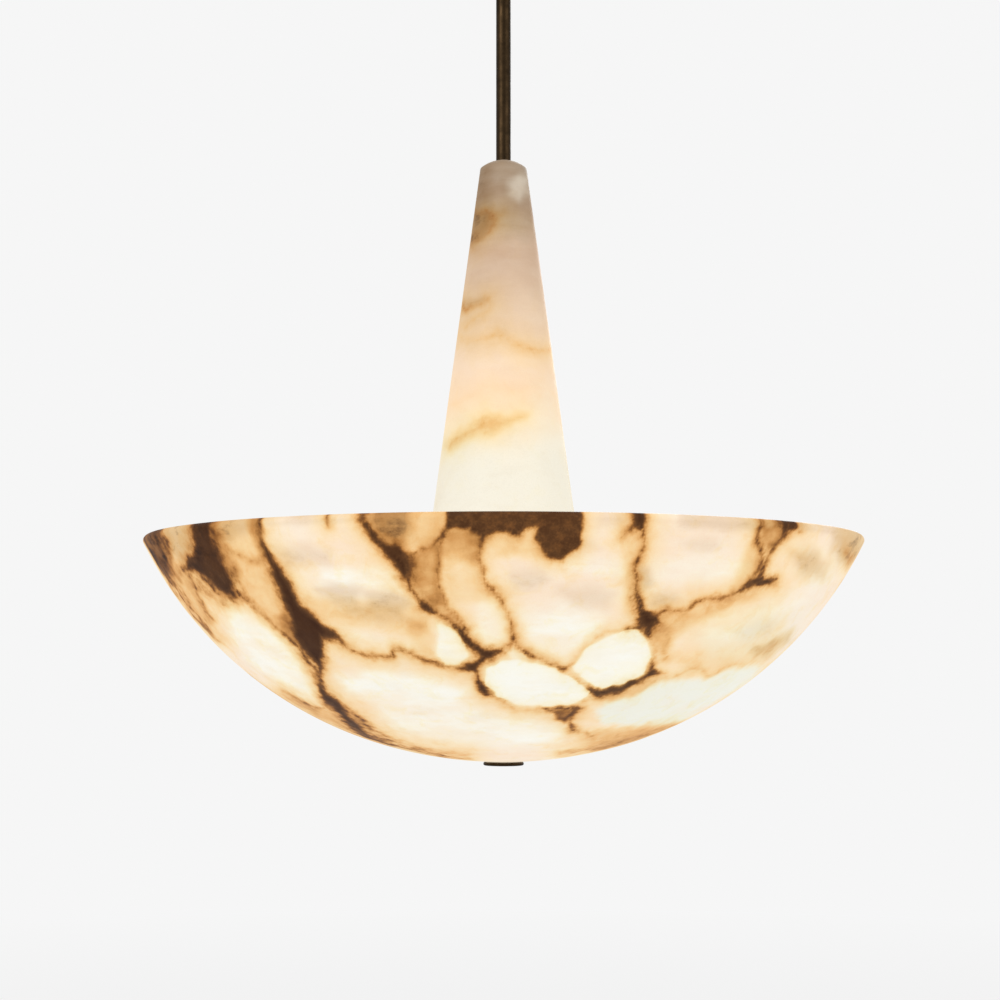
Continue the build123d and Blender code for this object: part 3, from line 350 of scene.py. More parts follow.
# A stain is how far the stone is browned, in percent, its edge's softness in pixels, and an outline.
BOWL_STAINS = dict(
    tip=(52, 4, (132, 528), (156, 528), (163, 545), (170, 560), (174, 576), (164, 572), (150, 556),
        (140, 544)),
    tip_low=(20, 4, (150, 556), (166, 558), (180, 580), (176, 590), (162, 572)),
    tip_cell=(4, 5, (160, 526), (192, 522), (194, 555), (186, 566), (176, 558), (166, 544)),
    strip=(14, 7, (214, 524), (256, 522), (262, 548), (276, 580), (290, 606), (298, 634), (280, 630),
        (256, 606), (236, 580)),
    strip_foot=(34, 4, (274, 616), (286, 610), (296, 624), (302, 644), (292, 642)),
    strip_head=(34, 7, (206, 520), (216, 522), (222, 540), (230, 556), (240, 574), (234, 580), (222, 564),
        (212, 544)),
    under_wedge=(5, 7, (188, 578), (214, 580), (240, 590), (244, 602), (222, 604), (204, 600), (192, 592)),
    left_cell=(14, 5, (166, 556), (184, 568), (192, 580), (214, 622), (214, 634), (196, 612), (178, 586)),
    trunk_left=(34, 4, (248, 516), (260, 516), (268, 556), (262, 560), (252, 540)),
    big_left_low=(17, 8, (306, 598), (350, 598), (400, 606), (426, 618), (424, 632), (390, 630), (350, 624),
        (322, 614)),
    small_cell_side=(16, 5, (404, 620), (428, 622), (434, 636), (433, 654), (420, 648), (408, 634)),
    lower_left_end=(20, 4, (284, 694), (300, 700), (318, 710), (334, 716), (348, 730), (320, 722),
        (296, 706)),
    sliver=(30, 3, (332, 704), (350, 712), (366, 724), (372, 732), (360, 726), (346, 718)),
    band_shade=(29, 7, (366, 508), (398, 508), (416, 508), (416, 530), (408, 544), (400, 554), (386, 546),
        (372, 528)),
    rim_brown=(20, 6, (414, 510), (440, 508), (442, 530), (438, 546), (424, 548), (412, 542)),
    column=(34, 4, (410, 560), (420, 551), (440, 543), (442, 556), (438, 580), (440, 604), (430, 604),
        (414, 588)),
    column_foot=(22, 4, (422, 594), (440, 592), (449, 607), (460, 618), (463, 632), (452, 622), (436, 616),
        (424, 608)),
    thumb_head=(34, 9, (446, 530), (484, 528), (480, 550), (472, 560), (454, 558), (444, 554)),
    thumb=(10, 6, (446, 556), (478, 554), (484, 580), (494, 594), (478, 604), (452, 602), (444, 588)),
    mottle_right=(10, 9, (786, 548), (816, 544), (832, 562), (824, 582), (798, 578)),
    rising_stain=(7, 12, (690, 612), (740, 604), (780, 600), (770, 630), (720, 646), (680, 650)),
    first_edge=(14, 6, (486, 532), (520, 536), (536, 532), (548, 558), (516, 556), (494, 558)),
    above_cells=(10, 8, (500, 600), (520, 640), (560, 660), (530, 656), (508, 636)),
    upright_side=(12, 6, (620, 524), (640, 520), (640, 560), (634, 580), (636, 614), (624, 610), (626, 570)),
    right_wedge=(34, 3.5, (762, 526), (782, 526), (778, 542), (769, 550), (763, 544)),
    right_wedge_side=(14, 5, (744, 556), (756, 530), (764, 576), (744, 588), (728, 594)),
    rise_gold=(18, 6, (654, 628), (668, 614), (692, 612), (724, 602), (756, 590), (756, 597), (724, 611),
        (694, 622), (674, 640), (662, 650)),
    second_gold=(17, 5, (652, 626), (664, 620), (672, 630), (672, 646), (664, 650), (655, 648)),
    knot_fill=(62, 2.5, (553, 711), (570, 711), (574, 716), (564, 722), (556, 719)),
    under_second_side=(16, 5, (596, 698), (624, 693), (650, 680), (656, 684), (640, 694), (612, 704)),
    rising_gold=(9, 8, (664, 656), (700, 650), (752, 640), (790, 610), (780, 644), (740, 664), (690, 668)),
    bottom_gold=(16, 7, (580, 742), (600, 730), (640, 726), (676, 720), (640, 744), (600, 756)),
    bottom_patch=(8, 4, (592, 730), (633, 728), (684, 718), (668, 730), (633, 743), (604, 749)),
    tip_right=(10, 6, (838, 530), (868, 530), (862, 556), (846, 566), (842, 548)),
    right_grey=(18, 5, (756, 646), (776, 640), (794, 628), (790, 640), (770, 654), (752, 660)),
)

# A light says in the same way how far the stone is whiter.
BOWL_LIGHTS = dict(
    lower_left_cell=(95, 9, (228, 606), (250, 612), (276, 634), (298, 656), (314, 690), (316, 702),
        (286, 688), (250, 662), (230, 634)),
    big_left_streak=(80, 6, (322, 568), (380, 568), (398, 578), (402, 590), (350, 584), (318, 584)),
    big_left_streak_side=(40, 6, (284, 568), (322, 566), (330, 582), (296, 584)),
    big_left_low=(35, 7, (320, 622), (380, 634), (420, 640), (410, 650), (360, 644), (330, 632)),
    middle_cell=(105, 9, (336, 676), (380, 668), (430, 676), (470, 690), (450, 702), (390, 700), (350, 694)),
    middle_low=(85, 9, (370, 700), (440, 690), (500, 716), (564, 728), (560, 742), (500, 750), (430, 742),
        (390, 724)),
    small_cell=(95, 3, (437, 621), (450, 626), (460, 634), (466, 646), (469, 658), (459, 665), (444, 664),
        (436, 655), (437, 638)),
    thumb_foot=(70, 7, (478, 606), (496, 600), (506, 618), (508, 634), (500, 646), (484, 648), (474, 630)),
    tiny_cell=(80, 3, (505, 655), (514, 648), (524, 652), (530, 660), (514, 660)),
    first_cell=(135, 3.5, (486, 668), (500, 661), (518, 660), (538, 664), (556, 668), (569, 675), (578, 684),
        (590, 691), (581, 700), (568, 705), (544, 706), (514, 704), (496, 696), (486, 684)),
    second_cell=(135, 3.5, (573, 668), (590, 645), (606, 637), (622, 630), (638, 629), (650, 643),
        (652, 658), (645, 672), (624, 683), (603, 690), (588, 683), (577, 675)),
    big_middle_low=(85, 9, (516, 612), (560, 604), (606, 616), (594, 636), (566, 660), (534, 654)),
    big_middle_streak=(50, 7, (560, 556), (600, 560), (632, 558), (632, 576), (600, 576), (570, 570)),
    right_streak=(55, 8, (650, 560), (700, 556), (752, 560), (750, 578), (700, 582), (652, 580)),
    rising_cell=(50, 8, (700, 618), (746, 606), (800, 584), (826, 580), (800, 606), (750, 636), (704, 642)),
    right_top=(30, 8, (790, 540), (830, 540), (826, 556), (800, 558)),
    left_cell_top=(10, 6, (250, 540), (300, 530), (330, 540), (300, 550)),
)

# A pale area says it for stone that is cool and greenish white.
BOWL_PALES = dict(
    lower_right=(100, 4, (594, 712), (606, 704), (634, 697), (656, 682), (686, 678), (708, 678), (730, 670),
        (764, 664), (752, 682), (712, 704), (680, 722), (634, 726), (604, 724)),
    right_haze=(45, 14, (700, 640), (760, 610), (820, 600), (800, 640), (760, 660), (710, 662)),
    upper_right_haze=(30, 12, (800, 570), (840, 560), (836, 590), (810, 600)),
)

# A grey area says it for cloudy, dull stone.
BOWL_GREYS = dict(
    tip=(180, 5, (130, 526), (156, 526), (164, 545), (171, 560), (168, 570), (152, 558), (138, 544)),
    tip_cell=(115, 5, (160, 526), (190, 520), (194, 548), (186, 564), (172, 556), (164, 540)),
    wedge=(125, 4, (190, 516), (208, 516), (216, 550), (230, 574), (238, 598), (226, 592), (204, 576),
        (186, 568), (194, 546)),
    strip_top=(105, 7, (206, 518), (256, 514), (252, 530), (232, 540), (214, 540)),
    band_shade=(142, 7, (364, 508), (412, 508), (408, 532), (394, 546), (376, 530)),
    # painted shade: grey along the rim on the left, widening the rim's painted shade there
    rim_left_painted_shade=(55, 5, (262, 508), (330, 505), (358, 505), (352, 520), (300, 524), (266, 524)),
    cloud_left=(55, 8, (276, 548), (304, 544), (330, 550), (330, 562), (286, 566)),
    cloud_mid=(80, 6, (316, 588), (340, 582), (360, 588), (356, 603), (332, 602)),
    cloud_right=(85, 6, (362, 592), (392, 590), (412, 604), (400, 618), (370, 608)),
    cloud_low=(60, 7, (340, 604), (384, 612), (410, 620), (380, 624), (346, 614)),
    cloud_centre=(55, 7, (512, 574), (540, 568), (552, 580), (534, 590), (514, 588)),
    cloud_centre_low=(55, 8, (556, 590), (590, 584), (616, 594), (606, 608), (572, 606)),
    cloud_centre_top=(40, 6, (548, 545), (590, 538), (600, 548), (566, 554)),
    beside_upright=(95, 6, (636, 566), (650, 568), (653, 584), (644, 592), (636, 580)),
    cloud_upright_low=(55, 7, (650, 596), (668, 592), (680, 600), (668, 608), (652, 608)),
    cloud_right_top=(40, 6, (680, 542), (716, 538), (720, 548), (690, 552)),
    mottle_right=(95, 8, (792, 554), (812, 548), (826, 562), (822, 578), (804, 574)),
    mottle_edge=(115, 7, (834, 532), (866, 530), (860, 556), (846, 566), (834, 552)),
    rising_streak=(75, 7, (736, 632), (758, 620), (776, 622), (766, 634), (744, 642)),
    rising_streak_low=(90, 6, (752, 648), (778, 636), (794, 626), (792, 640), (770, 654), (754, 658)),
    rim_right=(40, 6, (590, 508), (636, 508), (632, 526), (600, 526)),
    rim_far_right=(75, 5, (676, 508), (780, 514), (850, 524), (850, 534), (790, 530), (720, 530),
        (680, 526)),
)

CONE_VEINS = dict(
    top_curve=(1, (477, 213, -60), (486, 212, -46), (493, 215, -30), (493, 222, -34), (489, 232, -54),
        (481, 239, -64), (471, 246, -70)),
    top_spur=(1, (493, 214, -44), (502, 212, -70)),
    second_curve=(1, (462, 304, -34), (467, 307, -24), (474, 307, -36), (482, 304, -42), (488, 298, -60)),
    second_tail=(1, (486, 300, -70), (490, 306, -90), (480, 318, -80), (464, 325, -80)),
    cross_line=(1, (461, 336, -90), (476, 340, -90), (488, 339, -70), (496, 336, -56), (506, 339, -70),
        (518, 345, -60), (530, 350, -50), (542, 351, -56), (554, 351, -70)),
    low_wisp=(1, (450, 448, -70), (455, 441, -62), (463, 434, -66), (472, 430, -80), (481, 428, -60),
        (490, 425, -54), (499, 422, -70)),
    low_wisp_top=(1, (470, 426, -90), (482, 418, -74), (492, 421, -64), (503, 421, -80), (514, 418, -84),
        (526, 415, -94)),
    low_wisp_mid=(1, (474, 421, -80), (484, 424, -54), (494, 428, -64), (486, 433, -80)),
)

CONE_STAINS = dict(
    top_patch=(10, 7, (474, 210), (494, 212), (492, 230), (472, 246), (468, 232)),
    wisp_haze=(13, 7, (446, 444), (462, 428), (500, 414), (530, 412), (506, 428), (470, 440), (452, 452)),
)
CONE_LIGHTS = dict(
    top_spot=(34, 7, (509, 182), (517, 176), (527, 178), (528, 192), (519, 199), (510, 194)),
)
CONE_PALES = dict(
    # painted light: the cone's foot made paler, nearest the lamps below it
    foot=(50, 16, (448, 452), (500, 446), (566, 438), (590, 530), (430, 530)),
    right_side=(15, 12, (534, 380), (560, 372), (584, 450), (540, 452), (530, 410)),
)
CONE_GREYS = dict(
    top_patch=(130, 5, (474, 213), (490, 215), (491, 226), (482, 238), (466, 248), (464, 226)),
    left_edge=(95, 8, (474, 160), (492, 166), (490, 206), (464, 210)),
    right_edge=(40, 8, (528, 190), (548, 190), (552, 240), (532, 240)),
    second=(80, 7, (458, 296), (478, 298), (486, 300), (470, 309), (456, 306)),
)

CURVE_STEP = 5.0  # pixels between the points that a vein's smooth run is measured to
NO_VEIN = 60.0  # pixels: further off, a vein no longer shows
VEIN_FADE = 16.0  # pixels by which the veins thin out where the photograph's part ends
TINY = 1e-9


def smooth_run(points):
    """The run's points joined by a curve through all of them, CURVE_STEP apart."""
    p = np.array(points, float) / (1, 1, 10)
    p = np.vstack([2 * p[0] - p[1], p, 2 * p[-1] - p[-2]])
    out = []
    for a, b, c, d in zip(p[:-3], p[1:-2], p[2:-1], p[3:]):
        count = max(1, round(np.linalg.norm((c - b)[:2]) / CURVE_STEP))
        square = 2 * a - 5 * b + 4 * c - d
        cube = 3 * b - a - 3 * c + d
        for t in np.arange(count) / count:
            out.append(0.5 * (2 * b + (c - a) * t + square * t**2 + cube * t**3))
    out.append(p[-2])
    return np.vstack(out)


def to_segment(spots, a, b):
    """Distance of each spot to the segment from a to b, and how far along it that is."""
    along = (b - a)[:2]
    t = np.clip(((spots - a[:2]) @ along) / max(along @ along, TINY), 0, 1)
    return np.hypot(*(spots - a[:2] - t[:, None] * along).T), t


def inside(spots, outline):
    """Signed distance to an outline's edge, negative inside it."""
    ring = np.array(outline, float)
    far = np.full(len(spots), np.inf)
    within = np.zeros(len(spots), bool)
    for a, b in zip(ring, np.roll(ring, -1, 0)):
        far = np.minimum(far, to_segment(spots, a, b)[0])
        crosses = (a[1] > spots[:, 1]) != (b[1] > spots[:, 1])
        rise = b[1] - a[1] if b[1] != a[1] else TINY
        within ^= crosses & (spots[:, 0] < (b[0] - a[0]) * (spots[:, 1] - a[1]) / rise + a[0])
    return np.where(within, -far, far)


def vein_distance(spots, veins, darks):
    """How many pixels each spot lies outside the nearest vein's or dark patch's edge."""
    least = np.full(len(spots), NO_VEIN)
    for fade, *points in veins.values():
        run = smooth_run(points)
        for a, b in zip(run[:-1], run[1:]):
            distance, t = to_segment(spots, a, b)
            edge = distance - (a[2] + (b[2] - a[2]) * t)
            least = np.minimum(least, np.where(edge > 0, edge / fade, edge))
    for fade, depth, *outline in darks.values():
        edge = np.maximum(inside(spots, outline), depth)
        least = np.minimum(least, np.where(edge > 0, edge / fade, edge))
    return least


def tint(spots, areas):
    """Strength at each spot of the areas laid over each other."""
    left = np.ones(len(spots))
    most = 0.0
    for percent, softness, *outline in areas.values():
        strength = percent / 100
        share = smooth_step(softness, -softness, inside(spots, outline))
        left *= 1 - np.minimum(share * min(strength, 1.0), 1.0)
        most = np.maximum(most, share * max(strength - 1.0, 0.0))
    return 1 - left + most


def mark_stone(piece, points, seen, rim, veins, darks, **tints):
    """Writes the stone's veins and tints on the piece, read at points, where seen is over 0."""
    spots = np.stack(photo_of(points), 1) + jitter(points, 0.016, 3.0) + jitter(points, 0.006, 1.6)
    use = seen > 0
    edge = np.full(len(points), NO_VEIN)
    edge[use] = vein_distance(spots[use], veins, darks)
    put_values(piece, "vein", edge + VEIN_FADE * (1 - seen) ** 2)
    for name, areas in tints.items():
        strength = np.zeros(len(points))
        strength[use] = tint(spots[use], areas)
        put_values(piece, name, strength * seen)
    put_values(piece, "seen", seen)
    # rim holds the painted shade towards the top of the rim
    put_values(piece, "rim", rim)


# --- material tools


class Shader:
    """The nodes of a material or world. Its helpers add nodes and give back output sockets."""

    def __init__(self, owner, output="OutputMaterial"):
        self.owner = owner
        owner.use_nodes = True
        self.nodes = owner.node_tree.nodes
        self.links = owner.node_tree.links
        self.nodes.clear()
        self.out = self.nodes.new("ShaderNode" + output)

    def link(self, value, socket):
        if hasattr(value, "is_output"):
            self.links.new(value, socket)
        elif hasattr(value, "__len__") and len(value) == 3 and socket.type == "RGBA":
            socket.default_value = (*value, 1.0)
        else:
            socket.default_value = value

    def add(self, kind, output=0, inputs=None, **settings):
        """The output of a new node with these settings and inputs, or all outputs for None."""
        node = self.nodes.new("ShaderNode" + kind)
        for name, value in settings.items():
            setattr(node, name, value)
        for name, value in (inputs or {}).items():
            self.link(value, node.inputs[name])
        return node.outputs if output is None else node.outputs[output]

    def math(self, operation, a, b, clamp=False):
        return self.add("Math", 0, {0: a, 1: b}, operation=operation, use_clamp=clamp)

    def times(self, a, b, clamp=False):
        return self.math("MULTIPLY", a, b, clamp)

    def plus(self, a, b, clamp=False):
        return self.math("ADD", a, b, clamp)

    def rest(self, share, clamp=False):
        """What the share leaves of 1."""
        return self.math("SUBTRACT", 1.0, share, clamp)

    def scaled(self, x, y, z):
        """The object's coordinates, stretched along each axis."""
        inputs = {"Scale": (x, y, z), "Vector": self.place}
        return self.add("Mapping", 0, inputs, vector_type="POINT")

    def noise(self, scale, detail=4.0, roughness=0.55, vector=None, distortion=0.0, output="Fac"):
        inputs = {"Scale": scale, "Detail": detail, "Roughness": roughness, "Distortion": distortion}
        inputs["Vector"] = vector or self.place
        return self.add("TexNoise", output, inputs)

    def wobble(self, amount, *look):
        """Noise either side of 0, times the amount."""
        return self.times(self.math("SUBTRACT", self.noise(*look), 0.5), amount)

    def remap(self, value, low=0.0, high=1.0, to_low=0.0, to_high=1.0):
        inputs = {"Value": value, "From Min": low, "From Max": high, "To Min": to_low, "To Max": to_high}
        return self.add("MapRange", "Result", inputs, clamp=True)

    def ramp(self, value, stops):
        """Colour or grey ramp from (place, colour or level) pairs."""
        node = self.nodes.new("ShaderNodeValToRGB")
        elements = node.color_ramp.elements
        while len(elements) < len(stops):
            elements.new(1.0)
        for element, (place, level) in zip(elements, stops):
            element.position = place
            colour = level if hasattr(level, "__len__") else (level, level, level)
            element.color = (*colour, 1.0)
        self.link(value, node.inputs["Fac"])
        return node.outputs["Color"]

    def mix(self, factor, a, b, blend="MIX"):
        return self.add("Mix", 2, {"Factor": factor, 6: a, 7: b}, data_type="RGBA", blend_type=blend)

    def dimmed(self, colour, by):
        """The colour times another colour."""
        return self.mix(1.0, colour, by, "MULTIPLY")

    def shaded(self, colour, level):
        """The colour times a level from 0 to 1."""
        return self.dimmed(colour, self.ramp(level, [(0.0, 0.0), (1.0, 1.0)]))

    def attribute(self, name):
        return self.add("Attribute", "Fac", attribute_name=name)

    def bump(self, height, strength, distance):
        return self.add("Bump", 0, {"Strength": strength, "Distance": distance, "Height": height})

    def end(self, shader):
        """The material or world, now showing this shader."""
        self.links.new(shader, self.out.inputs[0])
        return self.owner

    def principled(self, **values):
        inputs = {name.replace("_", " "): value for name, value in values.items()}
        return self.end(self.add("BsdfPrincipled", 0, inputs))


def new_material(name):
    s = Shader(bpy.data.materials.new(name))
    s.place = s.add("TexCoord", "Object")
    return s


def linear(red, green, blue):
    """Linear colour from 0 to 255 display values, each over 10."""
    return tuple(((v / 255 + 0.055) / 1.055) ** 2.4 for v in (red, green, blue))


# --- alabaster

PEACH = linear(254, 231, 205)
CREAM = linear(255, 248, 231)
WHITE_HOT = linear(255, 254, 246)
PALE_GREEN = linear(243, 243, 232)
DULL = (0.75, 0.68, 0.59)  # share of the light that cloudy stone lets through
SMOKY = (0.26, 0.245, 0.30)
# painted shade: the stone darkens towards the top of the rim, all round
RIM_PAINTED_SHADE = (0.76, 0.73, 0.72)
RIM_PAINTED_SHADE_LOW, RIM_PAINTED_SHADE_HIGH = 0.006, 0.0005  # below the rim, where it starts and is full
# What brown staining lets through, from none to a full dark vein
IRON = [
    (0.0, (1.0, 1.0, 1.0)), (0.06, (1.0, 0.965, 0.84)), (0.12, (0.985, 0.90, 0.69)),
    (0.20, (0.95, 0.80, 0.52)), (0.32, (0.86, 0.61, 0.31)), (0.48, (0.64, 0.375, 0.145)),
    (0.63, (0.37, 0.19, 0.060)), (0.76, (0.19, 0.092, 0.033)), (0.88, (0.108, 0.054, 0.023)),
    (1.0, (0.046, 0.017, 0.006)),
]
# Browning by the distance from a vein's edge, in pixels
BROWNING = [
    (-4.0, 1.0), (-1.5, 0.92), (0.0, 0.76), (1.2, 0.60), (2.4, 0.45), (4.0, 0.31), (6.5, 0.20), (10.0, 0.12),
    (16.0, 0.06), (26.0, 0.02), (36.0, 0.0),
]
EDGE_LOW, EDGE_HIGH = -4.0, 36.0

CELL_SCALE = 9.5  # cells per metre in the stone's network away from the photograph
CELL_BEND = (0.055, 0.055, 0.055)  # how far noise bends the network
PIXELS_PER_METRE = 1200.0  # of the photograph, at the bowl's front
STONE_GLOW = 0.69  # share of the stone's colour that the lamps behind it give
STONE_LIT = (0.42, 0.42, 0.42)  # share that it gives back


def alabaster(
    name, painted_light_by_height=None, vein_widths=(-7.5, 8.0), cell_stain=0.30, cell_light=0.8, freckles=0.11
):
    """Backlit stone: its own fill (for the cone, painted light by height), browned by iron near the veins
    and in the stained cells.
    """
    s = new_material(name)
    seen = s.attribute("seen")
    unseen = s.rest(seen)
    # network of veins where the photograph shows none
    warp = s.noise(14.0, 3.0, 0.5, output="Color")
    bent = s.add("VectorMath", 0, {0: warp, 1: CELL_BEND, 2: s.place}, operation="MULTIPLY_ADD")
    network = {"Scale": CELL_SCALE, "Vector": bent}
    to_edge = s.add("TexVoronoi", "Distance", network, feature="DISTANCE_TO_EDGE")
    chance = s.add("SeparateColor", None, {0: s.add("TexVoronoi", "Color", network, feature="F1")})
    width = s.remap(s.noise(7.0, 2.0, 0.5), 0.36, 0.66, *vein_widths)
    own = s.math("SUBTRACT", s.times(to_edge, PIXELS_PER_METRE / CELL_SCALE), width)
    own = s.plus(own, s.times(seen, NO_VEIN))
    edge = s.math("MINIMUM", s.attribute("vein"), own)
    # uneven edges
    calm = s.remap(edge, -2.2, 1.2, 3.2, 8.4)
    edge = s.plus(edge, s.wobble(calm, 150.0, 4.0, 0.56))
    edge = s.plus(edge, s.wobble(1.8, 620.0, 3.0, 0.55))
    span = EDGE_HIGH - EDGE_LOW
    stops = [((distance - EDGE_LOW) / span, level) for distance, level in BROWNING]
    browning = s.ramp(s.remap(edge, EDGE_LOW, EDGE_HIGH), stops)
    browning = s.times(browning, s.remap(s.noise(38.0, 5.0, 0.62), 0.30, 0.62, 0.94, 1.0))
    bright = s.remap(s.attribute("light"), 0.55, 1.0, 0.0, 0.60)
    spared = s.math("MAXIMUM", bright, s.times(s.attribute("pale"), 0.75))
    browning = s.times(browning, s.rest(spared))
    own_stain = s.times(s.remap(chance[0], 0.55, 1.0, 0.0, cell_stain), unseen)
    cloud = s.remap(s.noise(46.0, 5.0, 0.6), 0.25, 0.75, 0.62, 1.38)
    stain = s.times(s.plus(s.attribute("stain"), own_stain), cloud, clamp=True)
    faint = s.remap(s.noise(60.0, 6.0, 0.65, distortion=0.6), 0.52, 0.80, 0.0, freckles)
    stain = s.plus(stain, faint, clamp=True)
    iron = s.rest(s.times(s.rest(browning), s.rest(stain)), clamp=True)
    # the stone's own colour (for the cone, painted light by height), with level streaks of light
    streak = s.remap(s.noise(15.0, 6.0, 0.62, s.scaled(1.0, 1.0, 4.2)), 0.42, 0.72)
    mottle = s.remap(s.noise(34.0, 6.0, 0.68, s.scaled(1.0, 1.0, 1.9)), 0.50, 0.74)
    own_light = s.times(s.remap(chance[1], 0.35, 0.95, 0.0, cell_light), unseen)
    light = s.plus(s.attribute("light"), own_light)
    if painted_light_by_height:
        fill = painted_light_by_height(s)
        light = s.plus(light, s.times(streak, 0.10))
    else:
        fill = PEACH
        light = s.times(light, s.remap(streak, to_low=0.80, to_high=1.10))
        light = s.plus(light, s.times(streak, 0.38))
    fill = s.mix(s.remap(light), fill, CREAM)
    fill = s.mix(s.remap(light, 0.75, 1.35), fill, WHITE_HOT)
    own_grey = s.times(s.remap(chance[2], 0.60, 1.0, 0.0, cell_light * 0.6), unseen)
    grey = s.plus(s.attribute("grey"), own_grey)
    grey = s.times(grey, s.remap(mottle, to_low=0.74, to_high=1.25))
    grey = s.plus(grey, s.times(mottle, 0.16))
    fill = s.mix(s.remap(grey), fill, s.dimmed(fill, DULL))
    fill = s.mix(s.remap(grey, 0.9, 1.7), fill, s.dimmed(fill, SMOKY))
    # painted shade towards the top of the rim
    fill = s.mix(s.attribute("rim"), fill, s.dimmed(fill, RIM_PAINTED_SHADE))
    pale = s.times(s.attribute("pale"), s.remap(mottle, to_low=1.0, to_high=0.72))
    fill = s.mix(pale, fill, PALE_GREEN)
    fill = s.shaded(fill, s.remap(s.noise(900.0, 3.0, 0.5), 0.3, 0.7, 0.965, 1.03))
    colour = s.dimmed(fill, s.ramp(iron, IRON))
    pits = s.plus(s.noise(420.0, 5.0, 0.6), s.times(iron, -0.35))
    return s.principled(
        Base_Color=s.dimmed(colour, STONE_LIT),
        Roughness=s.remap(s.noise(90.0), 0.3, 0.7, 0.40, 0.56),
        Specular_IOR_Level=0.10,
        Normal=s.bump(pits, 0.10, 0.0006),
        Emission_Color=colour,
        Emission_Strength=STONE_GLOW,
    )


# Colour of the cone by height above its foot, painted light as the light in it fades upwards, with a painted
# highlight on the dome at the top: metres, display colour
CONE_PAINTED_LIGHT = [
    (0.000, 231, 226, 212), (0.088, 235, 227, 207), (0.108, 242, 229, 203), (0.126, 248, 229, 199),
    (0.150, 249, 218, 180), (0.176, 246, 219, 190), (0.218, 229, 200, 169), (0.257, 211, 182, 155),
    (0.278, 202, 171, 144), (0.299, 184, 157, 127), (0.321, 166, 139, 114), (0.341, 161, 138, 114),
    # the last stop is a painted highlight on the dome
    (0.352, 165, 146, 126), (0.360, 186, 176, 164),
]


def cone_painted_light(s):
    level = s.plus(s.add("SeparateXYZ", "Z", {0: s.place}), s.wobble(0.05, 22.0))
    height = CONE_PAINTED_LIGHT[-1][0]
    share = s.remap(level, CONE_FOOT_Z, CONE_FOOT_Z + height)
    return s.ramp(share, [(h / height, linear(*colour)) for h, *colour in CONE_PAINTED_LIGHT])


def build_bowl():
    outside, rim, within = bowl_profile()
    profile = joined(outside, rim, within)
    angles = front_fine_angles(fine=0.0078, coarse=0.0165)
    piece, _ = turned_mesh("bowl_stone", profile, angles)
    # the pattern goes straight through the wall, so each row reads it on the outside
    r, z = np.array(profile).T
    outer_r, outer_z = np.array(outside).T
    turn = np.arctan2(r, BOTTOM_ARC_Z - z)
    outer_turn = np.arctan2(outer_r, BOTTOM_ARC_Z - outer_z)
    read_r = np.interp(turn, outer_turn, outer_r)
    read_z = np.interp(turn, outer_turn, outer_z)
    read = turned(read_r, read_z, angles)
    # under the bowl the surface turns away from the photograph, and its own network takes over
    lean = np.arctan2(np.gradient(outer_z), np.gradient(outer_r))
    read_lean = np.interp(turn, outer_turn, lean)
    normal = turned(np.sin(read_lean), -np.cos(read_lean), angles)
    sight = camera_place - read
    turned_to_camera = np.sum(normal * sight, 1) / np.linalg.norm(sight, axis=1)
    facing = -read[:, 1] / np.maximum(np.hypot(read[:, 0], read[:, 1]), 0.09)
    # and it does so along an uneven line
    turned_to_camera += jitter(read, 0.045, 0.09)[:, 0] + jitter(read, 0.016, 0.04)[:, 0]
    facing += jitter(read, 0.05, 0.10)[:, 1]
    seen = smooth_step(0.05, 0.22, facing) * smooth_step(-0.02, 0.12, turned_to_camera)
    # painted shade towards the top of the rim, as a share from 0 to 1
    rim_painted_shade = smooth_step(RIM_Z - RIM_PAINTED_SHADE_LOW, RIM_Z - RIM_PAINTED_SHADE_HIGH, read[:, 2])
    tints = {"stain": BOWL_STAINS, "light": BOWL_LIGHTS, "pale": BOWL_PALES, "grey": BOWL_GREYS}
    mark_stone(piece, read, seen, rim_painted_shade, BOWL_VEINS, BOWL_DARKS, **tints)
    piece.data.materials.append(alabaster("alabaster_bowl"))
    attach(piece, "bowl")
    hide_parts("bowl")


def cone_profile():
    """Closed run of (r, z): up the outside, over the dome, down the hole and the hollow."""
    top_z = CONE_FOOT_Z + CONE_HEIGHT
    taper = (CONE_FOOT - CONE_TOP) / CONE_HEIGHT
    dome = (CONE_TOP**2 + CONE_DOME_RISE**2) / (2 * CONE_DOME_RISE)
    dome_z = top_z + CONE_DOME_RISE - dome
    lean = atan2(CONE_FOOT - CONE_TOP, CONE_HEIGHT)
    # centre of the shoulder's round, inside both the wall and the dome, found by repeated fitting
    z = top_z
    for _ in range(40):
        r = CONE_FOOT - taper * (z - CONE_FOOT_Z) - CONE_SHOULDER_ROUND / cos(lean)
        z = dome_z + sqrt((dome - CONE_SHOULDER_ROUND) ** 2 - r**2)
    shoulder_end = pi - asin(r / (dome - CONE_SHOULDER_ROUND))
    shoulder = arc((r, z), CONE_SHOULDER_ROUND, pi / 2 + lean, shoulder_end, SHOULDER_STEP)
    hole_z = dome_z + sqrt(dome**2 - CONE_HOLE**2)
    hollow_top = top_z - CONE_CAP
    hollow_foot = CONE_FOOT - CONE_WALL
    hollow_r = hollow_foot - taper * (CONE_HEIGHT - CONE_CAP)
    return joined(
        line((CONE_FOOT, CONE_FOOT_Z), shoulder[0], CONE_STEP),
        shoulder,
        arc((0.0, dome_z), dome, shoulder_end, pi - asin(CONE_HOLE / dome), DOME_STEP),
        line((CONE_HOLE, hole_z), (CONE_HOLE, hollow_top), HOLE_STEP),
        line((hollow_r, hollow_top), (hollow_foot, CONE_FOOT_Z), CONE_INSIDE_STEP),
    )


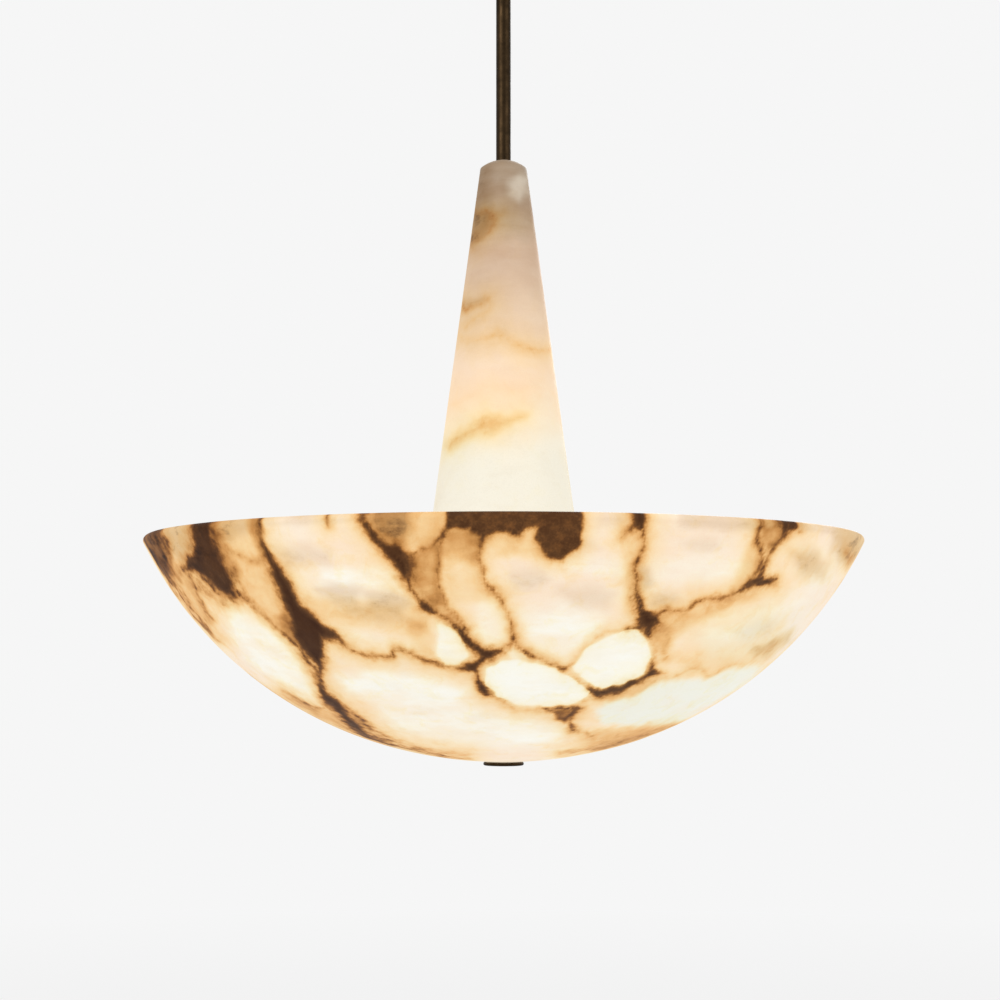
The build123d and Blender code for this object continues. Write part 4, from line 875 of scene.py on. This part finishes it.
def build_cone():
    angles = front_fine_angles(fine=0.034, coarse=0.06)
    piece, points = turned_mesh("cone_stone", cone_profile(), angles)
    outward = points / np.maximum(np.hypot(points[:, 0], points[:, 1]), 1e-6)[:, None]
    seen = smooth_step(0.0, 0.25, jitter(points, 0.05, 0.16)[:, 0] - outward[:, 1])
    tints = {"stain": CONE_STAINS, "light": CONE_LIGHTS, "pale": CONE_PALES, "grey": CONE_GREYS}
    mark_stone(piece, points, seen, np.zeros(len(points)), CONE_VEINS, {}, **tints)
    piece.data.materials.append(alabaster("alabaster_cone", cone_painted_light, (-16.0, -3.0), 0.10, 0.10, 0.03))
    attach(piece, "cone")
    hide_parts("cone")


build_bowl()
build_cone()

# --- other materials


def metal(name, base, tarnish, roughness, brush, wear=0.5, scale=120.0):
    """Metal with patches of tarnish, fine brushing along Z or round it, and uneven gloss."""
    s = new_material(name)
    patches = s.remap(s.noise(scale, 5.0, 0.6), 0.35, 0.70)
    lines = s.noise(scale * 4, 4.0, 0.6, s.scaled(*brush))
    colour = s.mix(s.times(patches, wear), base, tarnish)
    colour = s.shaded(colour, s.remap(lines, 0.3, 0.7, 0.82, 1.0))
    gloss = s.remap(lines, 0.3, 0.7, roughness - 0.08, roughness + 0.08)
    gloss = s.plus(s.times(patches, 0.12), gloss)
    bump = s.bump(lines, 0.12, 0.0002)
    return s.principled(Base_Color=colour, Metallic=1.0, Roughness=gloss, Normal=bump)


def plastic(name, base, dark, roughness, grain, bump=0.15, coat=0.0):
    """Moulded or sheathed surface: slight shifts of colour and a fine skin."""
    s = new_material(name)
    cloud = s.remap(s.noise(70.0, 5.0, 0.6), 0.30, 0.70)
    skin = s.noise(grain)
    return s.principled(
        Base_Color=s.mix(s.times(cloud, 0.6), base, dark),
        Roughness=s.remap(skin, 0.3, 0.7, roughness - 0.06, roughness + 0.08),
        Normal=s.bump(skin, bump, 0.0002),
        Coat_Weight=coat,
        Coat_Roughness=0.08,
    )


def braid(name, base, dark):
    """Woven sleeve: two crossing sets of threads."""
    s = new_material(name)
    inputs = {"Scale": 420.0, "Distortion": 0.6, "Vector": s.place}
    strands = [s.add("TexWave", "Fac", inputs, bands_direction=way) for way in ("DIAGONAL", "Z")]
    weave = s.times(*strands)
    return s.principled(
        # painted shade: the darker colour lies between the threads
        Base_Color=s.mix(weave, dark, base),
        Roughness=s.remap(weave, to_low=0.85, to_high=0.6),
        Normal=s.bump(weave, 0.5, 0.0003),
    )


def opal(name):
    """Lit opal glass with the faint cloud of its inner coating."""
    s = new_material(name)
    cloud = s.remap(s.noise(55.0), 0.3, 0.7, 0.90, 1.0)
    fine = s.remap(s.noise(900.0, 3.0), 0.3, 0.7, 0.97, 1.0)
    warm = s.mix(s.times(cloud, fine), linear(255, 214, 160), linear(255, 243, 222))
    return s.principled(
        Base_Color=s.dimmed(warm, (0.34, 0.34, 0.34)),
        Roughness=0.28,
        Coat_Weight=0.4,
        Coat_Roughness=0.06,
        Emission_Color=warm,
        Emission_Strength=0.84,
    )


ROUND_Z = (1.0, 1.0, 0.06)  # marks that run up and down a rod
LEVEL_Z = (0.08, 0.08, 1.0)  # marks that run round a turned piece

MATERIALS = {
    "bronze": metal("dark_bronze", (0.066, 0.040, 0.019), (0.030, 0.019, 0.010), 0.42, ROUND_Z, 0.8),
    "brass": metal("brushed_brass", (0.62, 0.45, 0.20), (0.33, 0.21, 0.09), 0.32, LEVEL_Z, 0.45),
    "steel": metal("zinc_steel", (0.56, 0.57, 0.58), (0.36, 0.36, 0.37), 0.36, (1.0, 0.2, 1.0), 0.5, 220.0),
    "screw_brass": metal("screw_brass", (0.66, 0.50, 0.24), (0.40, 0.27, 0.12), 0.28, LEVEL_Z, 0.4, 300.0),
    "terminal_plastic": plastic("terminal_plastic", (0.82, 0.81, 0.76), (0.70, 0.68, 0.60), 0.42, 700.0),
    "lead_sheath": plastic("lead_sheath", (0.030, 0.030, 0.032), (0.018, 0.018, 0.019), 0.55, 900.0, 0.3),
    "wire_sleeve": braid("wire_sleeve", (0.74, 0.72, 0.66), (0.42, 0.40, 0.35)),
    "gasket_rubber": plastic("gasket_rubber", (0.74, 0.72, 0.66), (0.60, 0.58, 0.52), 0.62, 500.0, 0.25),
    "shell_metal": metal("nickel_shell", (0.66, 0.63, 0.57), (0.44, 0.41, 0.36), 0.26, LEVEL_Z, 0.4, 160.0),
    "holder_porcelain": plastic("porcelain", (0.84, 0.82, 0.77), (0.76, 0.73, 0.66), 0.22, 260.0, 0.05, 0.6),
    "cap_metal": metal("lamp_cap", (0.74, 0.74, 0.74), (0.55, 0.54, 0.52), 0.30, LEVEL_Z, 0.4, 260.0),
    "opal_glass": opal("opal_glass"),
}

slots = {row["node"]: row["material_slot"] for row in frame["record"]["subparts"]}
for node, piece in frame["nodes"].items():
    if slots[node] in MATERIALS:
        piece.data.materials.clear()
        piece.data.materials.append(MATERIALS[slots[node]])


def build_lamp_cap(index):
    """A lamp's screw cap with its thread in relief, where the CAD's plain cap is."""
    # (out from the contact, radius, share of the thread's depth)
    rows = [(0.0, 0.0022, 0.0), (0.0003, 0.0031, 0.0), (0.0010, 0.0035, 0.0), (0.0024, 0.0035, 0.0)]
    rows += [(0.0026, 0.0046, 0.0), (0.0036, 0.0062, 0.0)]
    rows += [(out, CAP_RADIUS, 1.0) for out in np.linspace(THREAD_START, THREAD_END, THREAD_ROWS)]
    rows += [(0.0181, CAP_RADIUS - THREAD_DEPTH, 0.0), (0.0185, CAP_FLANGE, 0.0)]
    rows += [(CAP_LENGTH, CAP_FLANGE, 0.0)]
    out, radius, share = np.array(rows).T[:, :, None]
    angles = np.linspace(0, 2 * pi, CAP_COLUMNS, endpoint=False)
    radius = radius - share * THREAD_DEPTH * (0.5 + 0.5 * np.cos(2 * pi * out / THREAD_PITCH - angles))
    turn = LAMP_FIRST_ANGLE + index * 2 * pi / LAMP_COUNT
    side = np.array((-sin(turn), cos(turn), 0.0))
    axis = np.array((cos(turn) * cos(LAMP_TILT), sin(turn) * cos(LAMP_TILT), sin(LAMP_TILT)))
    up = np.cross(axis, side)
    start = np.array((0.0, 0.0, RIM_Z - LAMP_BELOW_RIM)) + CAP_OUT * axis
    points = start + out[..., None] * axis
    points = points + (radius * np.cos(angles))[..., None] * side + (radius * np.sin(angles))[..., None] * up
    last = (len(rows) - 1) * CAP_COLUMNS
    faces = []
    for row in range(0, last, CAP_COLUMNS):
        for here in range(CAP_COLUMNS):
            after = (here + 1) % CAP_COLUMNS
            above = row + CAP_COLUMNS
            faces.append((row + here, row + after, above + after, above + here))
    faces += [list(range(CAP_COLUMNS))[::-1], list(range(last, last + CAP_COLUMNS))]
    piece = add_mesh(f"screw_cap_{index + 1}", points.reshape(-1, 3).tolist(), faces)
    piece.data.materials.append(MATERIALS["cap_metal"])
    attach(piece, f"lamp_{index + 1}")
    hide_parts(f"lamp_cap_{index + 1}")


for index in range(LAMP_COUNT):
    build_lamp_cap(index)

# --- stage, light and camera

BACKGROUND = 0.922  # linear, 246 of 255 in the picture
FLOOR_Z = -2.45
FLOOR_RADIUS = 60.0
FLOOR_CORNERS = 96
FLOOR_FADE = (2.45, 12.0)  # distances from the origin between which the floor becomes the air's colour
FLOOR_GLOW = 0.80
FLOOR_COLOUR = (0.86, 0.86, 0.86)
AIR_LIGHT = 0.52


def seen_directly(s):
    """1 for camera and transmission rays, else 0."""
    path = s.add("LightPath", None)
    return s.math("MAXIMUM", path["Is Camera Ray"], path["Is Transmission Ray"])


def build_floor():
    angles = np.linspace(0, 2 * pi, FLOOR_CORNERS, endpoint=False)
    ring = [(FLOOR_RADIUS * cos(a), FLOOR_RADIUS * sin(a), FLOOR_Z) for a in angles]
    floor = add_mesh("floor", ring, [list(range(FLOOR_CORNERS))])
    s = new_material("pale_floor")
    matt = s.add("BsdfDiffuse", 0, {"Color": FLOOR_COLOUR})
    glow = s.add("Emission", 0, {"Color": (BACKGROUND, BACKGROUND, BACKGROUND)})
    # the floor fades into the air round it far off, where no shadow falls
    far = s.add("VectorMath", "Value", {0: s.place}, operation="LENGTH")
    share = s.times(seen_directly(s), s.remap(far, *FLOOR_FADE, FLOOR_GLOW, 1.0))
    floor.data.materials.append(s.end(s.add("MixShader", 0, {0: share, 1: matt, 2: glow})))


def build_world():
    s = Shader(bpy.data.worlds.new("air"), "OutputWorld")
    light = s.add("Background", 0, {"Color": (AIR_LIGHT, AIR_LIGHT, AIR_LIGHT)})
    shown = s.add("Background", 0, {"Color": (BACKGROUND, BACKGROUND, BACKGROUND)})
    mixed = s.add("MixShader", 0, {0: seen_directly(s), 1: light, 2: shown})
    bpy.context.scene.world = s.end(mixed)


def soft_light(name, place, size, power):
    """A round area light turned towards the pendant's middle."""
    light = bpy.data.lights.new(name, "AREA")
    light.shape = "DISK"
    light.size = size
    light.energy = power
    middle = Vector((0.0, 0.0, (cad_low.z + cad_high.z) / 2))
    add_object(name, light, place, (middle - Vector(place)).to_track_quat("-Z", "Y").to_euler())


def build_camera():
    camera = bpy.data.cameras.new("photograph")
    camera.sensor_width = SENSOR_WIDTH
    camera.lens = FOCAL_PIXELS * SENSOR_WIDTH / PHOTO_SIZE
    camera.clip_start, camera.clip_end = 0.02, 200.0
    turn = (pi / 2 + CAMERA_PITCH, 0.0, 0.0)
    bpy.context.scene.camera = add_object("photograph", camera, camera_place.tolist(), turn)


build_floor()
build_world()
soft_light("key", (-1.9, -2.2, 0.9), 1.6, 34.0)
soft_light("fill", (2.3, -1.7, 0.2), 1.8, 20.0)
soft_light("back", (0.6, 2.6, 0.8), 1.8, 22.0)
build_camera()
bpy.context.scene.view_settings.view_transform = "Standard"
